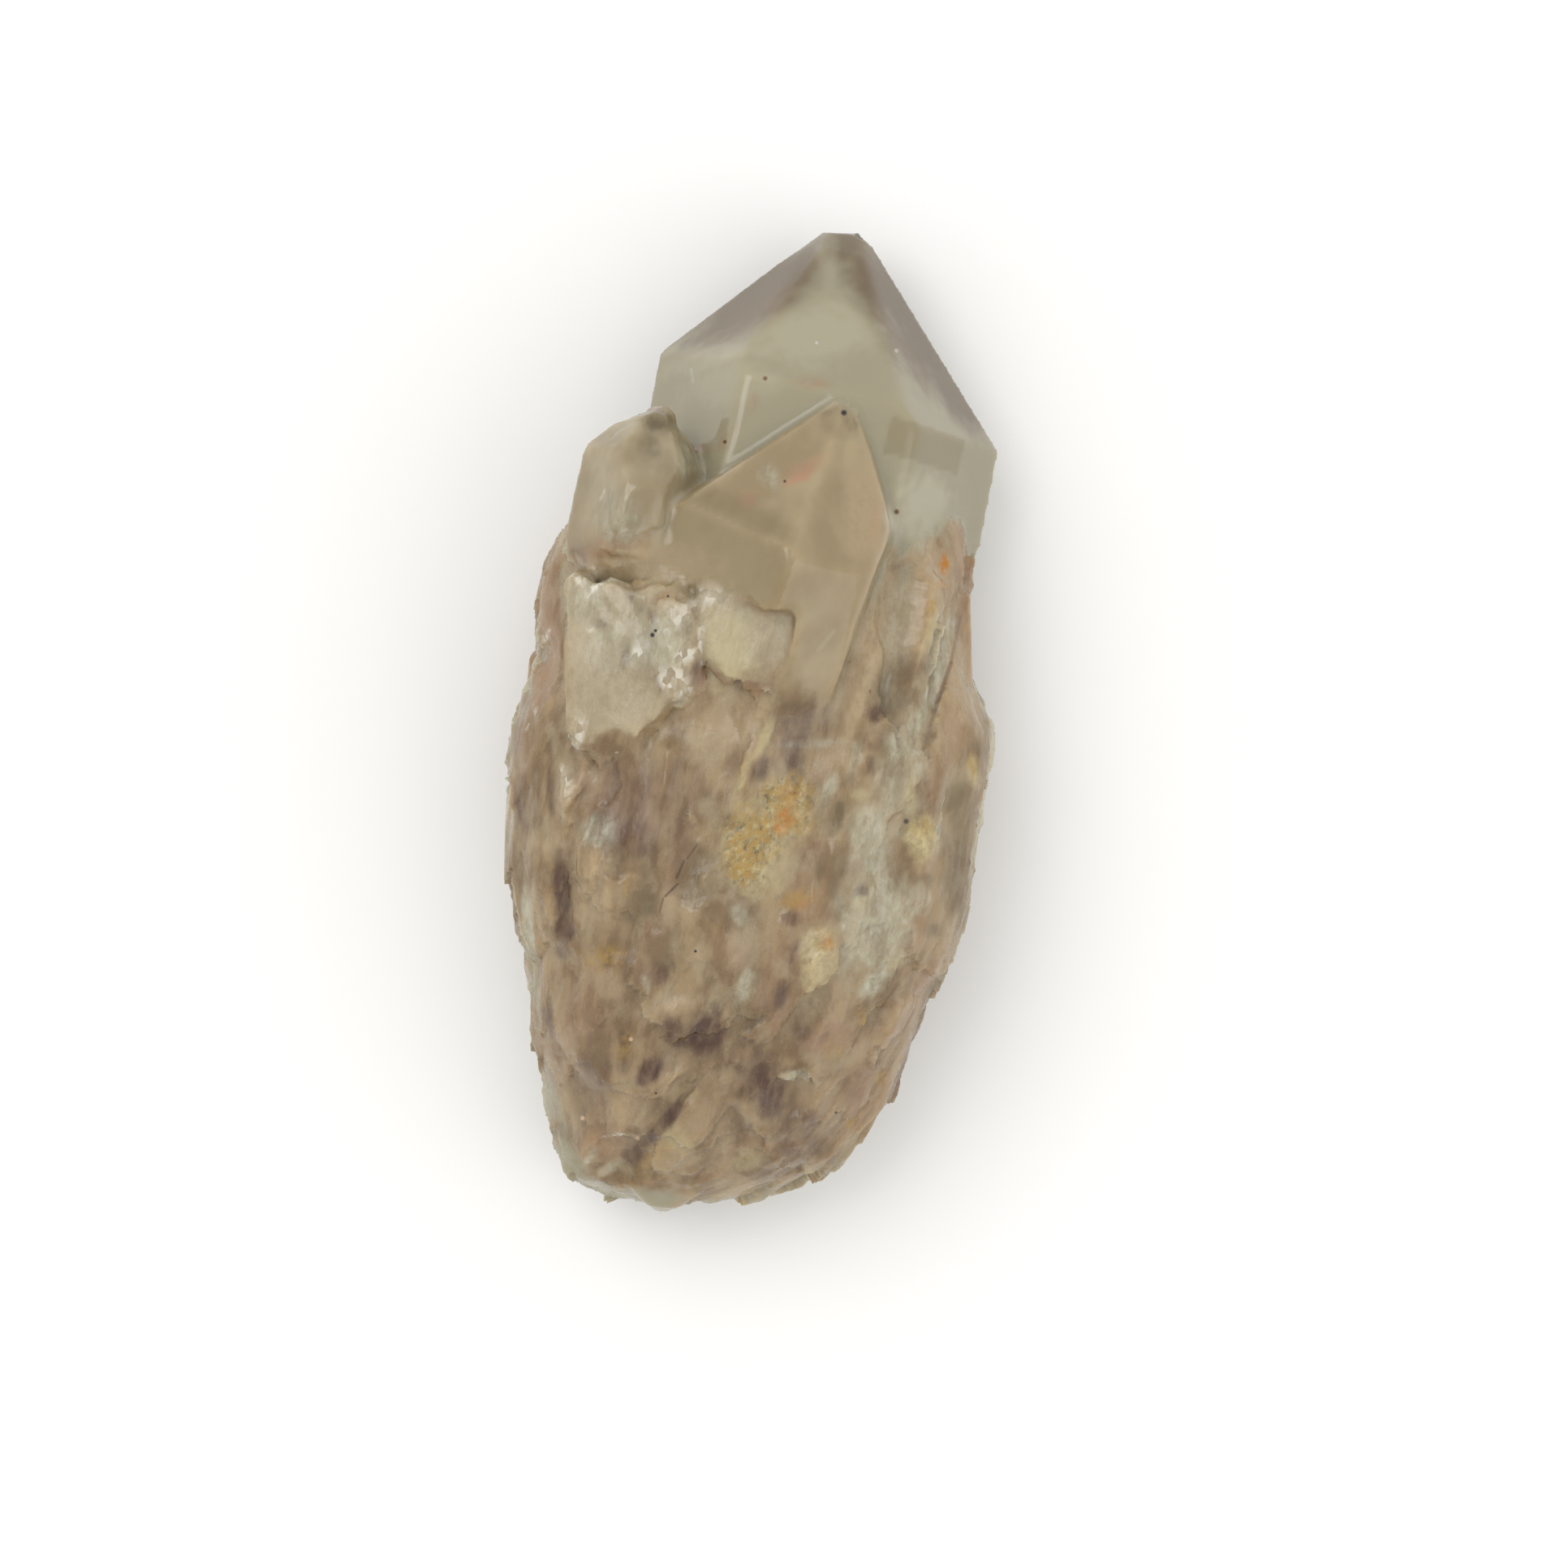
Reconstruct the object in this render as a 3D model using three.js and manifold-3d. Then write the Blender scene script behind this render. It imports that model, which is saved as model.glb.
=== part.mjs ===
// Citrine cluster: quartz points of cathedral habit, grown together into one stone.
// It lies on its back with the large point towards +Y and its best side up.
// Millimetres, +Z up, origin on the ground under the middle of the stone.
import * as THREE from "three";
import { ConvexGeometry } from "three/addons/geometries/ConvexGeometry.js";
import { ImprovedNoise } from "three/addons/math/ImprovedNoise.js";
import { mergeVertices } from "three/addons/utils/BufferGeometryUtils.js";
import Module from "manifold-3d";

const wasm = await Module();
wasm.setup();

// All points grew side by side, so their long axes lean from +Y towards +X by about this angle, in degrees.
const GROWTH_LEAN = 11;
// The angle between the long axis of quartz and the normal of a tip face.
const TIP_FACE_ANGLE = 51.8;
// Every second tip face is smaller: its plane passes this share of the half width above the tip.
const SMALL_FACE_RISE = 0.12;
// How quickly a crystal thins out at its foot: a rib slowly, and a small crystal bluntly.
const RIB_FOOT_ANGLE = 12;
const BLUNT_FOOT_ANGLE = 34;
const CORNER_TOLERANCE = 1e-6;
const MERGE_TOLERANCE = 1e-4;

const STONE_COLOUR = 0xb3a382;
const STONE_ROUGHNESS = 0.35;

// The body that carries the points: how far its left, right, back and front sides reach, from top to bottom.
const BODY_SECTIONS = [
  { y: 24.5, left: -12, right: 17, back: 5, front: 19.5 },
  { y: 20, left: -16.4, right: 20, back: 2, front: 22.6 },
  { y: 14.5, left: -20.8, right: 21.2, back: 0.4, front: 24.8 },
  { y: 10, left: -21.5, right: 20.4, back: -0.4, front: 26 },
  { y: 5, left: -20.8, right: 21.3, back: -1.4, front: 26.8 },
  { y: 0.5, left: -23.5, right: 23.1, back: -1.5, front: 27.4 },
  { y: -4, left: -23.5, right: 23.6, back: -1.2, front: 27.8 },
  { y: -9, left: -23.7, right: 22.1, back: -1.4, front: 28 },
  { y: -14, left: -24.3, right: 21.7, back: -1.4, front: 27.8 },
  { y: -18.5, left: -23.4, right: 21.3, back: -1.4, front: 27.2 },
  { y: -23.5, left: -21.3, right: 19.8, back: -1.2, front: 26.4 },
  { y: -28, left: -21.9, right: 17, back: -1, front: 25.2 },
  { y: -33, left: -21.3, right: 14.6, back: -0.6, front: 23.4 },
  { y: -37.7, left: -20.1, right: 13.2, back: 0, front: 21.2 },
  { y: -42, left: -19.2, right: 10.6, back: 1, front: 18.4 },
  { y: -45, left: -18.4, right: 6.6, back: 2.4, front: 15.4 },
  { y: -47.4, left: -13.8, right: -1.6, back: 4.2, front: 11.4 },
];
const BODY_RINGS = 33;
const BODY_SIDES = 42;
const BODY_SQUARENESS = 2.35;
// The body's relief: grooves that follow the growth, then lumps, then a rough skin. All in mm.
const GROOVES = { height: 3, across: 4.6, along: 24 };
const LUMPS = { height: 1.5, across: 8, along: 10 };
const SKIN = { height: 0.7, across: 2.8, along: 4 };
// Grooves only cut inwards, so the surface between them stands out by this much to keep the body's size.
const CREST_HEIGHT = 0.6;
// The relief is weaker at the sides, where it would blur the outline.
const SIDE_RELIEF = 0.4;
// Where in the endless noise the relief is taken from.
const NOISE_START = { x: 7.3, y: 3.1, z: 5.7 };

// The large points. tip is where the tip faces would meet before wear, and reaches is how far each prism face
// lies from the line under the tip: front, front left, back left, back, back right, front right. lean, pitch
// and spin are in degrees: pitch lifts the tip off the ground, and spin turns the point about its own axis.
// rises are in mm, one for each tip face, in the same order. footAngle says how quickly the point thins out
// at its foot. wear lists planes that cut the tip: their normal, and how far down the axis they cross it.
const LARGE_POINTS = [
  {
    tip: [9.4, 50.9, 9.4],
    reaches: [15, 13.6, 13.4, 13.4, 16.7, 16.7],
    length: 72,
    footAngle: 22,
    lean: 10.8,
    pitch: 0,
    spin: 0,
    rises: [0, -0.4, -0.2, 1.6, 0.3, 0.3],
    wear: [
      { normal: [-0.1, 1, 0], below: 2.5 },
      { normal: [-0.44, 0.9, 0.1], below: 0.9 },
      { normal: [0.42, 0.9, 0], below: 1.7 },
      { normal: [0, 0.8, 0.6], below: 1.9 },
    ],
  },
  {
    tip: [9.3, 31.6, 24.6],
    reaches: [11.2, 13.5, 9, 8, 8.6, 12],
    length: 58,
    footAngle: 22,
    lean: 20,
    pitch: 12,
    spin: -30,
    rises: [0, 0, 0.8, 0, 0.6, 0.3],
    wear: [
      { normal: [0, 1, 0.3], below: 0.9 },
      { normal: [0.45, 0.85, 0.1], below: 0.8 },
    ],
  },
  {
    tip: [-9, 31.4, 21],
    reaches: [8, 5.6, 5.1, 6, 5.3, 5.6],
    length: 22,
    footAngle: 40,
    lean: 12.5,
    pitch: 1,
    spin: 6,
    rises: [1.2, 0.8, 0.9, 0, 0.4, 0.8],
    wear: [
      { normal: [-0.5, 0.86, 0.1], below: 1.1 },
      { normal: [0.1, 0.95, 0.3], below: 0.7 },
    ],
  },
];

// Ribs on the front, each the free edge of a point that grew into the body: where the tip and the foot lie
// seen from the front, how far it stands out, and its half width and half depth.
const FRONT_RIBS = [
  { tip: [17.2, 17], foot: [14.2, -6], rise: 1.6, half: [2.5, 3.2], spin: 18 },
  { tip: [20.4, 10.6], foot: [19.2, -25], rise: 0.5, half: [2.8, 3.6], spin: 10 },
  { tip: [22.4, 1.6], foot: [21.6, -10], rise: 0.4, half: [1.6, 3], spin: 30 },
  { tip: [15.2, 6.6], foot: [11.2, -19], rise: 1.1, half: [1.6, 2.2], spin: 28 },
  { tip: [18.2, -1], foot: [15.6, -18], rise: 0.9, half: [1.7, 2.4], spin: 8 },
  { tip: [12.2, -1.6], foot: [7.4, -22], rise: 0.9, half: [1.5, 2], spin: 20 },
  { tip: [9.2, -9.6], foot: [3.6, -31], rise: 0.6, half: [1.7, 2], spin: 0 },
  { tip: [14, -14], foot: [9.6, -31], rise: 0.7, half: [1.8, 2.2], spin: 14 },
  { tip: [18.4, -14.6], foot: [15.2, -29], rise: 0.6, half: [2, 2.6], spin: 24 },
  { tip: [1.1, 1], foot: [-1.4, -8.6], rise: 1.5, half: [1, 1.4], spin: 30 },
  { tip: [-7.6, -0.4], foot: [-9.4, -16], rise: 0.9, half: [1.8, 1.9], spin: 30 },
  { tip: [-12.6, -2], foot: [-14, -22], rise: 0.3, half: [2, 2.4], spin: 12 },
  { tip: [-3.4, -12], foot: [-7, -27], rise: 0.6, half: [1.8, 1.9], spin: 5 },
  { tip: [-18.8, 17.4], foot: [-20.6, 2], rise: 0.9, half: [2.4, 4], spin: 22 },
  { tip: [-14.4, 16.6], foot: [-16.6, 2], rise: 0.8, half: [2.2, 2.8], spin: 8 },
  { tip: [-21.8, 1], foot: [-22.8, -19], rise: 0.9, half: [1.9, 4], spin: 26 },
  { tip: [-19.8, 1.6], foot: [-20.8, -16], rise: 0.5, half: [1.6, 2.4], spin: 4 },
  { tip: [-21.6, -15], foot: [-21.8, -27], rise: 0.5, half: [1, 2], spin: 30 },
  { tip: [-17.6, -22], foot: [-18.6, -38], rise: 0.6, half: [2, 2.4], spin: 16 },
  { tip: [-12.4, -21], foot: [-15.4, -34], rise: 0.8, half: [1.6, 2], spin: 24 },
  { tip: [-2.6, -25.6], foot: [-11.8, -37], rise: 0.9, half: [1.6, 1.8], spin: 10 },
  { tip: [3.6, -26.6], foot: [-6.4, -39], rise: 0.8, half: [1.8, 1.8], spin: 22 },
  { tip: [9.8, -26], foot: [0.4, -39.6], rise: 0.7, half: [2, 2], spin: 6 },
  { tip: [13.6, -27.6], foot: [7.4, -39], rise: 0.5, half: [2, 2.6], spin: 18 },
  { tip: [-5.4, -27.4], foot: [-13.4, -30.6], rise: 0.9, half: [1.2, 1.4], spin: 0 },
  { tip: [4, -37.6], foot: [-5.6, -45.4], rise: 0.5, half: [1.8, 2.2], spin: 14 },
];

// Small crystals on the front, in the same terms, with blunt feet.
const SMALL_CRYSTALS = [
  { tip: [-17.4, -4.6], foot: [-18, -10.4], rise: 0.8, half: [1.3, 1.3], spin: 12 },
  { tip: [-15.1, -9.2], foot: [-15.4, -18], rise: 1.1, half: [2.2, 1.9], spin: -14 },
  { tip: [-13.2, -13.2], foot: [-13.8, -20.6], rise: 0.8, half: [1.9, 1.6], spin: 24 },
  { tip: [16.8, -8.4], foot: [16, -15.6], rise: 1.1, half: [1.8, 1.5], spin: 12 },
  { tip: [7.7, -20], foot: [5.1, -27.4], rise: 1.1, half: [2.1, 1.5], spin: 16 },
  { tip: [0.8, -24], foot: [-0.8, -30], rise: 0.6, half: [1.5, 1.3], spin: 0 },
  { tip: [-12, -35], foot: [-13.2, -41.4], rise: 1, half: [1.6, 1.6], spin: -8 },
  { tip: [-15.6, -38.4], foot: [-16.6, -44], rise: 0.9, half: [1.5, 1.6], spin: 18 },
  { tip: [-7.2, -39.4], foot: [-9.6, -43.4], rise: 0.5, half: [1.8, 1.6], spin: 8 },
  { tip: [-8.4, -41], foot: [-9.6, -49], rise: -0.6, half: [4.8, 2.6], spin: 8 },
  { tip: [-2.6, -43], foot: [-3.1, -48.1], rise: -0.7, half: [1, 1.2], spin: 0 },
];

// The sides and the back carry rows of the same ribs. Angles run around the body from its right side over
// the front, so the back lies between 180 and 360.
const AROUND_ROWS = [
  { y: 20, angles: [318, 262, 232, 210], rise: 2, half: [4.4, 5], length: 34 },
  { y: 10, angles: [340, 326, 296, 244, 226, 208], rise: 1.5, half: [3.6, 4.4], length: 30 },
  { y: -5, angles: [336, 326, 310, 282, 250, 228, 212, 200], rise: 1.3, half: [3, 3.8], length: 26 },
  { y: -20, angles: [322, 310, 294, 262, 234, 216, 204], rise: 1.2, half: [2.6, 3.2], length: 20 },
  { y: 19, angles: [28, 12, 160], rise: 0.7, half: [3, 3.6], length: 30 },
  { y: 7, angles: [34, 20, 352, 150, 166], rise: 0.6, half: [2.8, 3.6], length: 28 },
  { y: -7, angles: [30, 14, 356, 152, 170, 184], rise: 0.5, half: [2.6, 3.4], length: 24 },
  { y: -22, angles: [36, 146, 164, 186], rise: 0.5, half: [2.4, 3], length: 17 },
];
// Each rib in a row is moved along by up to the step in mm, its foot drifts round by up to the drift in
// degrees, and it is turned further than the one before it and than those of the row before.
const ROW_STEP = 2.8;
const ROW_DRIFT = 6;
const RIB_TURN = 40;
const ROW_TURN = 11;

// Where a face of the front point has broken away, and the two plates left standing there. Outlines are
// seen from the front. The level is the height of the flat at the middle of the outline.
const BROKEN_AREA = {
  outline: [
    [-20, 16.8], [-9.4, 16.2], [-8.4, 14.2], [-6.6, 12.9], [-5.4, 13.4], [-2.8, 13.7], [-1.4, 11.6],
    [1.6, 10.2], [4.8, 10.1], [3.9, 5.6], [2.3, 3.2], [1.6, -2], [-0.6, -8], [-4, -15], [-20, -15],
  ],
  level: 27,
  thickness: 20,
  tiltX: -2,
  tiltY: -7,
};
const PLATES = [
  {
    outline: [
      [-18.7, 13.6], [-16.9, 14.9], [-15.4, 13.3], [-13.6, 14], [-11.2, 12.6], [-9.2, 13.4], [-6.6, 12.4],
      [-5, 10.2], [-4.7, 6.6], [-5.4, 5], [-4.9, 3.2], [-6.9, 1.2], [-7.6, 1.9], [-9, -0.4], [-10.6, -1.2],
      [-11.4, -3], [-12.6, -3.6], [-13.4, -2.6], [-15.2, -2.8], [-17, -2.4], [-18.3, -1.6], [-18.6, 4],
    ],
    level: 27.6,
    thickness: -6,
    tiltX: -1,
    tiltY: -15,
  },
  {
    outline: [
      [-5.3, 13.2], [-3, 13.5], [-1.2, 11.3], [1.5, 10], [4.6, 9.9], [3.8, 8], [3.9, 6.4], [2.6, 5.4],
      [1.6, 3.6], [0.2, 3], [-1.4, 3.7], [-2.6, 3.4], [-4.3, 5.6], [-5, 8],
    ],
    level: 30,
    thickness: -5,
    tiltX: -3,
    tiltY: -6,
  },
  {
    outline: [
      [-9.6, 11.8], [-7.4, 12], [-5.2, 9.9], [-5.1, 7], [-5.8, 4.2], [-7.2, 3], [-8.8, 2.6], [-9.8, 5],
      [-9.2, 8],
    ],
    level: 29.6,
    thickness: -5,
    tiltX: 4,
    tiltY: -13,
  },
];

// Hollows: shell-like breaks, open grooves and pits. Each is an ellipsoid pressed into the front: where its
// middle lies seen from the front, how deep it cuts, its half width and half length, and its lean.
const HOLLOWS = [
  { at: [-13.2, 12.4], depth: 0.6, half: [2, 5], lean: 58 },
  { at: [-13, -6.4], depth: 0.9, half: [3.2, 5.6], lean: 4 },
  { at: [-18.2, -18.4], depth: 1.3, half: [1.1, 5.4], lean: -2 },
  { at: [1.4, -11.6], depth: 1.1, half: [3.4, 6], lean: 12 },
  { at: [0.8, -8.2], depth: 1, half: [0.9, 1.2], lean: 0 },
  { at: [-1.7, -10.2], depth: 0.9, half: [0.8, 1.3], lean: 20 },
  { at: [-6.2, -15.2], depth: 0.7, half: [0.8, 4.6], lean: 32 },
  { at: [-9, -24.6], depth: 0.9, half: [2, 3], lean: 20 },
  { at: [-7.4, -32.6], depth: 0.9, half: [1.5, 4.6], lean: 44 },
  { at: [-7.6, -37.4], depth: 1.2, half: [1.1, 5], lean: 42 },
  { at: [2.8, -37.4], depth: 0.7, half: [2.8, 4], lean: 30 },
  { at: [12.6, 3.6], depth: 1, half: [1.2, 5], lean: 14 },
  { at: [17.6, 5.6], depth: 1.1, half: [1.1, 5.6], lean: 12 },
  { at: [10.6, -16.4], depth: 0.7, half: [1, 5.4], lean: 16 },
  { at: [5.4, -17], depth: 0.8, half: [1.4, 3.4], lean: 10 },
];
const HOLLOW_DETAIL = 2;
// A hollow's ellipsoid stands out of the stone by this many times its depth, so that it cuts a wide rim.
const HOLLOW_LIFT = 1.5;

const GROUND_SIZE = 300;

const radians = THREE.MathUtils.degToRad;
const UP = new THREE.Vector3(0, 1, 0);
// The six sides of quartz, from the front one round by the left.
const SIDE_AZIMUTHS = [90, 150, 210, 270, 330, 30].map(radians);

/** Turns three.js geometry into a closed solid. */
function solidOf(geometry) {
  const bare = geometry.clone();
  bare.deleteAttribute("normal");
  bare.deleteAttribute("uv");
  const merged = mergeVertices(bare, MERGE_TOLERANCE);
  return new wasm.Manifold(
    new wasm.Mesh({
      numProp: 3,
      vertProperties: new Float32Array(merged.attributes.position.array),
      triVerts: new Uint32Array(merged.index.array),
    }),
  );
}

/** The point where three planes meet, or null if they don't meet in one point. */
function meetingPoint(a, b, c) {
  const bc = new THREE.Vector3().crossVectors(b.normal, c.normal);
  const volume = a.normal.dot(bc);
  if (Math.abs(volume) < CORNER_TOLERANCE) return null;
  const ca = new THREE.Vector3().crossVectors(c.normal, a.normal);
  const ab = new THREE.Vector3().crossVectors(a.normal, b.normal);
  return bc
    .multiplyScalar(a.distance)
    .addScaledVector(ca, b.distance)
    .addScaledVector(ab, c.distance)
    .divideScalar(volume);
}

/** The convex body inside a set of planes, each with an outward normal and its distance from the origin. */
function bodyInside(planes) {
  const corners = [];
  planes.forEach((a, i) =>
    planes.slice(i + 1).forEach((b, j) =>
      planes.slice(i + j + 2).forEach((c) => {
        const corner = meetingPoint(a, b, c);
        if (!corner) return;
        const inside = planes.every((p) => p.normal.dot(corner) <= p.distance + CORNER_TOLERANCE);
        if (inside && !corners.some((known) => known.distanceTo(corner) < MERGE_TOLERANCE)) {
          corners.push(corner);
        }
      }),
    ),
  );
  return new ConvexGeometry(corners);
}

/** The usual unequal tip faces of quartz: every second one is smaller. */
function alternateRises([halfWidth]) {
  return SIDE_AZIMUTHS.map((_, side) => (side % 2 ? SMALL_FACE_RISE * halfWidth : 0));
}

/** How far the six prism faces lie from the axis in an even point of this half width and half depth. */
function evenReaches([halfWidth, halfDepth]) {
  const reachAt = (azimuth) => Math.hypot(halfWidth * Math.cos(azimuth), halfDepth * Math.sin(azimuth));
  return SIDE_AZIMUTHS.map(reachAt);
}

/** A six-sided quartz point whose tip is at the origin, its long axis along Y and a prism face towards Z. */
function quartzPoint({ reaches, rises, length, footAngle, wear = [] }) {
  const steep = radians(TIP_FACE_ANGLE);
  const foot = radians(footAngle);
  const planes = SIDE_AZIMUTHS.flatMap((azimuth, side) => {
    const [across, out] = [Math.cos(azimuth), Math.sin(azimuth)];
    return [
      { normal: new THREE.Vector3(across, 0, out), distance: reaches[side] },
      {
        normal: new THREE.Vector3(across * Math.sin(steep), Math.cos(steep), out * Math.sin(steep)),
        distance: rises[side] * Math.cos(steep),
      },
      {
        normal: new THREE.Vector3(across * Math.cos(foot), -Math.sin(foot), out * Math.cos(foot)),
        distance: length * Math.sin(foot),
      },
    ];
  });
  wear.forEach(({ normal, below }) => {
    const direction = new THREE.Vector3(...normal).normalize();
    planes.push({ normal: direction, distance: -below * direction.y });
  });
  return bodyInside(planes);
}

/** A large point, turned about its axis, lifted, leaned and moved to its place. */
function largePoint(point) {
  return quartzPoint(point)
    .rotateY(radians(point.spin))
    .rotateX(radians(point.pitch))
    .rotateZ(radians(-point.lean))
    .translate(...point.tip);
}

/** How far the body reaches at any place along Y, on a smooth curve through its sections. */
function bodySections() {
  const upwards = [...BODY_SECTIONS].reverse();
  const sides = upwards.flatMap(({ left, right, back, front }) => [left, right, back, front]);
  return new THREE.CubicInterpolant(upwards.map(({ y }) => y), sides, 4);
}
const sections = bodySections();

/** The body's middle and half sizes at a place along Y. */
function sectionAt(y) {
  const [left, right, back, front] = sections.evaluate(y);
  return {
    middle: { x: (left + right) / 2, z: (back + front) / 2 },
    reach: { x: (right - left) / 2, z: (front - back) / 2 },
  };
}

/** A spot on the body's smooth form, before relief, with the direction straight out of it. */
function spotAround(y, angle) {
  const { middle, reach } = sectionAt(y);
  const [c, s] = [Math.cos(radians(angle)), Math.sin(radians(angle))];
  const power = BODY_SQUARENESS;
  const round = (Math.abs(c) ** power + Math.abs(s) ** power) ** (-1 / power);
  const slope = (value) => Math.sign(value) * Math.abs(value) ** (power - 1);
  return {
    point: new THREE.Vector3(middle.x + reach.x * round * c, y, middle.z + reach.z * round * s),
    out: new THREE.Vector3(slope(round * c) / reach.x, 0, slope(round * s) / reach.z).normalize(),
  };
}

/** The spot on the body's front that is seen at x, y from the front. */
function spotInFront([x, y]) {
  const { middle, reach } = sectionAt(y);
  const across = THREE.MathUtils.clamp((x - middle.x) / reach.x, -1, 1);
  const height = (1 - Math.abs(across) ** BODY_SQUARENESS) ** (1 / BODY_SQUARENESS);
  return spotAround(y, THREE.MathUtils.radToDeg(Math.atan2(height, across)));
}

/** A crystal that lies in the body's surface between two spots and stands out by its rise. */
function crystalBetween(tipSpot, footSpot, { rise, half, spin = 0 }, footAngle) {
  const sink = rise - half[1];
  const tip = tipSpot.point.clone().addScaledVector(tipSpot.out, sink);
  const foot = footSpot.point.clone().addScaledVector(footSpot.out, sink);
  const axis = tip.clone().sub(foot);
  const roll = THREE.MathUtils.radToDeg(Math.atan2(tipSpot.out.x, tipSpot.out.z));
  const length = axis.length();
  return quartzPoint({ reaches: evenReaches(half), rises: alternateRises(half), length, footAngle })
    .rotateY(radians(roll + spin))
    .applyQuaternion(new THREE.Quaternion().setFromUnitVectors(UP, axis.normalize()))
    .translate(...tip);
}

function frontCrystal(crystal, footAngle) {
  return crystalBetween(spotInFront(crystal.tip), spotInFront(crystal.foot), crystal, footAngle);
}

/** The ribs of the rows around the sides and the back, stepped and drifting so that no two rows line up. */
function ribsAround() {
  return AROUND_ROWS.flatMap(({ y, angles, length, ...rib }, row) =>
    angles.map((angle, index) => {
      const step = ROW_STEP * Math.sin(5 * row + 3.3 * index);
      const drift = ROW_DRIFT * Math.sin(2 * row + 1.7 * index);
      const tip = spotAround(y + step, angle);
      const foot = spotAround(y + step - length, angle + drift);
      return crystalBetween(tip, foot, { ...rib, spin: RIB_TURN * index + ROW_TURN * row }, RIB_FOOT_ANGLE);
    }),
  );
}

/** Smooth noise whose bumps are longer along the growth direction than across it. */
function relief(noise, { height, across, along }, { x, y, z }) {
  const straight = x - Math.tan(radians(GROWTH_LEAN)) * y;
  return height * noise.noise(
    straight / across + NOISE_START.x,
    y / along + NOISE_START.y,
    z / across + NOISE_START.z,
  );
}

/** The lumpy body that carries the points, closed at both ends. */
function bodyGeometry() {
  const noise = new ImprovedNoise();
  const [top, bottom] = [BODY_SECTIONS.at(0).y, BODY_SECTIONS.at(-1).y];
  const corners = [];
  for (let ring = 0; ring < BODY_RINGS; ring += 1) {
    const y = THREE.MathUtils.lerp(top, bottom, ring / (BODY_RINGS - 1));
    for (let side = 0; side < BODY_SIDES; side += 1) {
      const angle = (360 * side) / BODY_SIDES;
      const { point, out } = spotAround(y, angle);
      const groove = Math.abs(relief(noise, GROOVES, point));
      const bump = CREST_HEIGHT - groove + relief(noise, LUMPS, point) + relief(noise, SKIN, point);
      const share = THREE.MathUtils.lerp(SIDE_RELIEF, 1, Math.abs(Math.sin(radians(angle))));
      corners.push(point.addScaledVector(out, bump * share));
    }
  }
  const indices = [];
  for (let ring = 0; ring < BODY_RINGS - 1; ring += 1) {
    for (let side = 0; side < BODY_SIDES; side += 1) {
      const a = ring * BODY_SIDES + side;
      const b = ring * BODY_SIDES + ((side + 1) % BODY_SIDES);
      indices.push(a, b, a + BODY_SIDES, b, b + BODY_SIDES, a + BODY_SIDES);
    }
  }
  [0, BODY_RINGS - 1].forEach((ring) => {
    const first = ring * BODY_SIDES;
    const rim = corners.slice(first, first + BODY_SIDES);
    const middle = rim.reduce((sum, corner) => sum.add(corner), new THREE.Vector3()).divideScalar(BODY_SIDES);
    const centre = corners.push(middle) - 1;
    for (let side = 0; side < BODY_SIDES; side += 1) {
      const a = first + side;
      const b = first + ((side + 1) % BODY_SIDES);
      indices.push(...(ring ? [a, b, centre] : [b, a, centre]));
    }
  });
  return new THREE.BufferGeometry().setFromPoints(corners).setIndex(indices);
}

/** A jagged slab. Its flat at the level is tilted a little, and it reaches up or down from there. */
function slabGeometry({ outline, level, thickness, tiltX, tiltY }) {
  const shape = new THREE.Shape(outline.map(([x, y]) => new THREE.Vector2(x, y)));
  const slab = new THREE.ExtrudeGeometry(shape, { depth: Math.abs(thickness), bevelEnabled: false });
  slab.computeBoundingBox();
  const { x, y } = slab.boundingBox.getCenter(new THREE.Vector3());
  return slab
    .translate(-x, -y, Math.min(thickness, 0))
    .rotateX(radians(tiltX))
    .rotateY(radians(tiltY))
    .translate(x, y, level);
}

/** An ellipsoid that cuts a hollow of the depth that is given into the body's front. */
function hollowGeometry({ at, depth, half, lean }) {
  const { point, out } = spotInFront(at);
  const lift = HOLLOW_LIFT * depth;
  const roll = Math.atan2(out.x, out.z);
  return new THREE.IcosahedronGeometry(1, HOLLOW_DETAIL)
    .scale(half[0], half[1], depth + lift)
    .rotateZ(radians(-lean))
    .rotateY(roll)
    .translate(...point.addScaledVector(out, lift));
}

/** Everything below the ground, as one block to take away, so that the stone rests on a flat. */
function groundGeometry() {
  return new THREE.BoxGeometry(GROUND_SIZE, GROUND_SIZE, GROUND_SIZE).translate(0, 0, -GROUND_SIZE / 2);
}

const joined = (geometries) => geometries.map(solidOf).reduce((stone, piece) => stone.add(piece));

function clusterSolid() {
  const points = joined(LARGE_POINTS.map(largePoint)).subtract(solidOf(slabGeometry(BROKEN_AREA)));
  const body = joined([
    bodyGeometry(),
    ...FRONT_RIBS.map((rib) => frontCrystal(rib, RIB_FOOT_ANGLE)),
    ...ribsAround(),
    ...PLATES.map(slabGeometry),
  ]);
  const hollows = joined([...HOLLOWS.map(hollowGeometry), groundGeometry()]);
  const crystals = joined(SMALL_CRYSTALS.map((crystal) => frontCrystal(crystal, BLUNT_FOOT_ANGLE)));
  return points.add(body).subtract(hollows).add(crystals);
}

/** The solid as three.js geometry, moved so that the origin is on the ground under its middle. */
function centredGeometry(solid) {
  const { vertProperties, triVerts, numProp } = solid.getMesh();
  const positions = [];
  for (let i = 0; i < vertProperties.length; i += numProp) {
    positions.push(...vertProperties.subarray(i, i + 3));
  }
  const geometry = new THREE.BufferGeometry();
  geometry.setAttribute("position", new THREE.Float32BufferAttribute(positions, 3));
  geometry.setIndex([...triVerts]);
  geometry.computeBoundingBox();
  const middle = geometry.boundingBox.getCenter(new THREE.Vector3());
  geometry.translate(-middle.x, -middle.y, -geometry.boundingBox.min.z);
  geometry.computeVertexNormals();
  return geometry;
}

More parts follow.
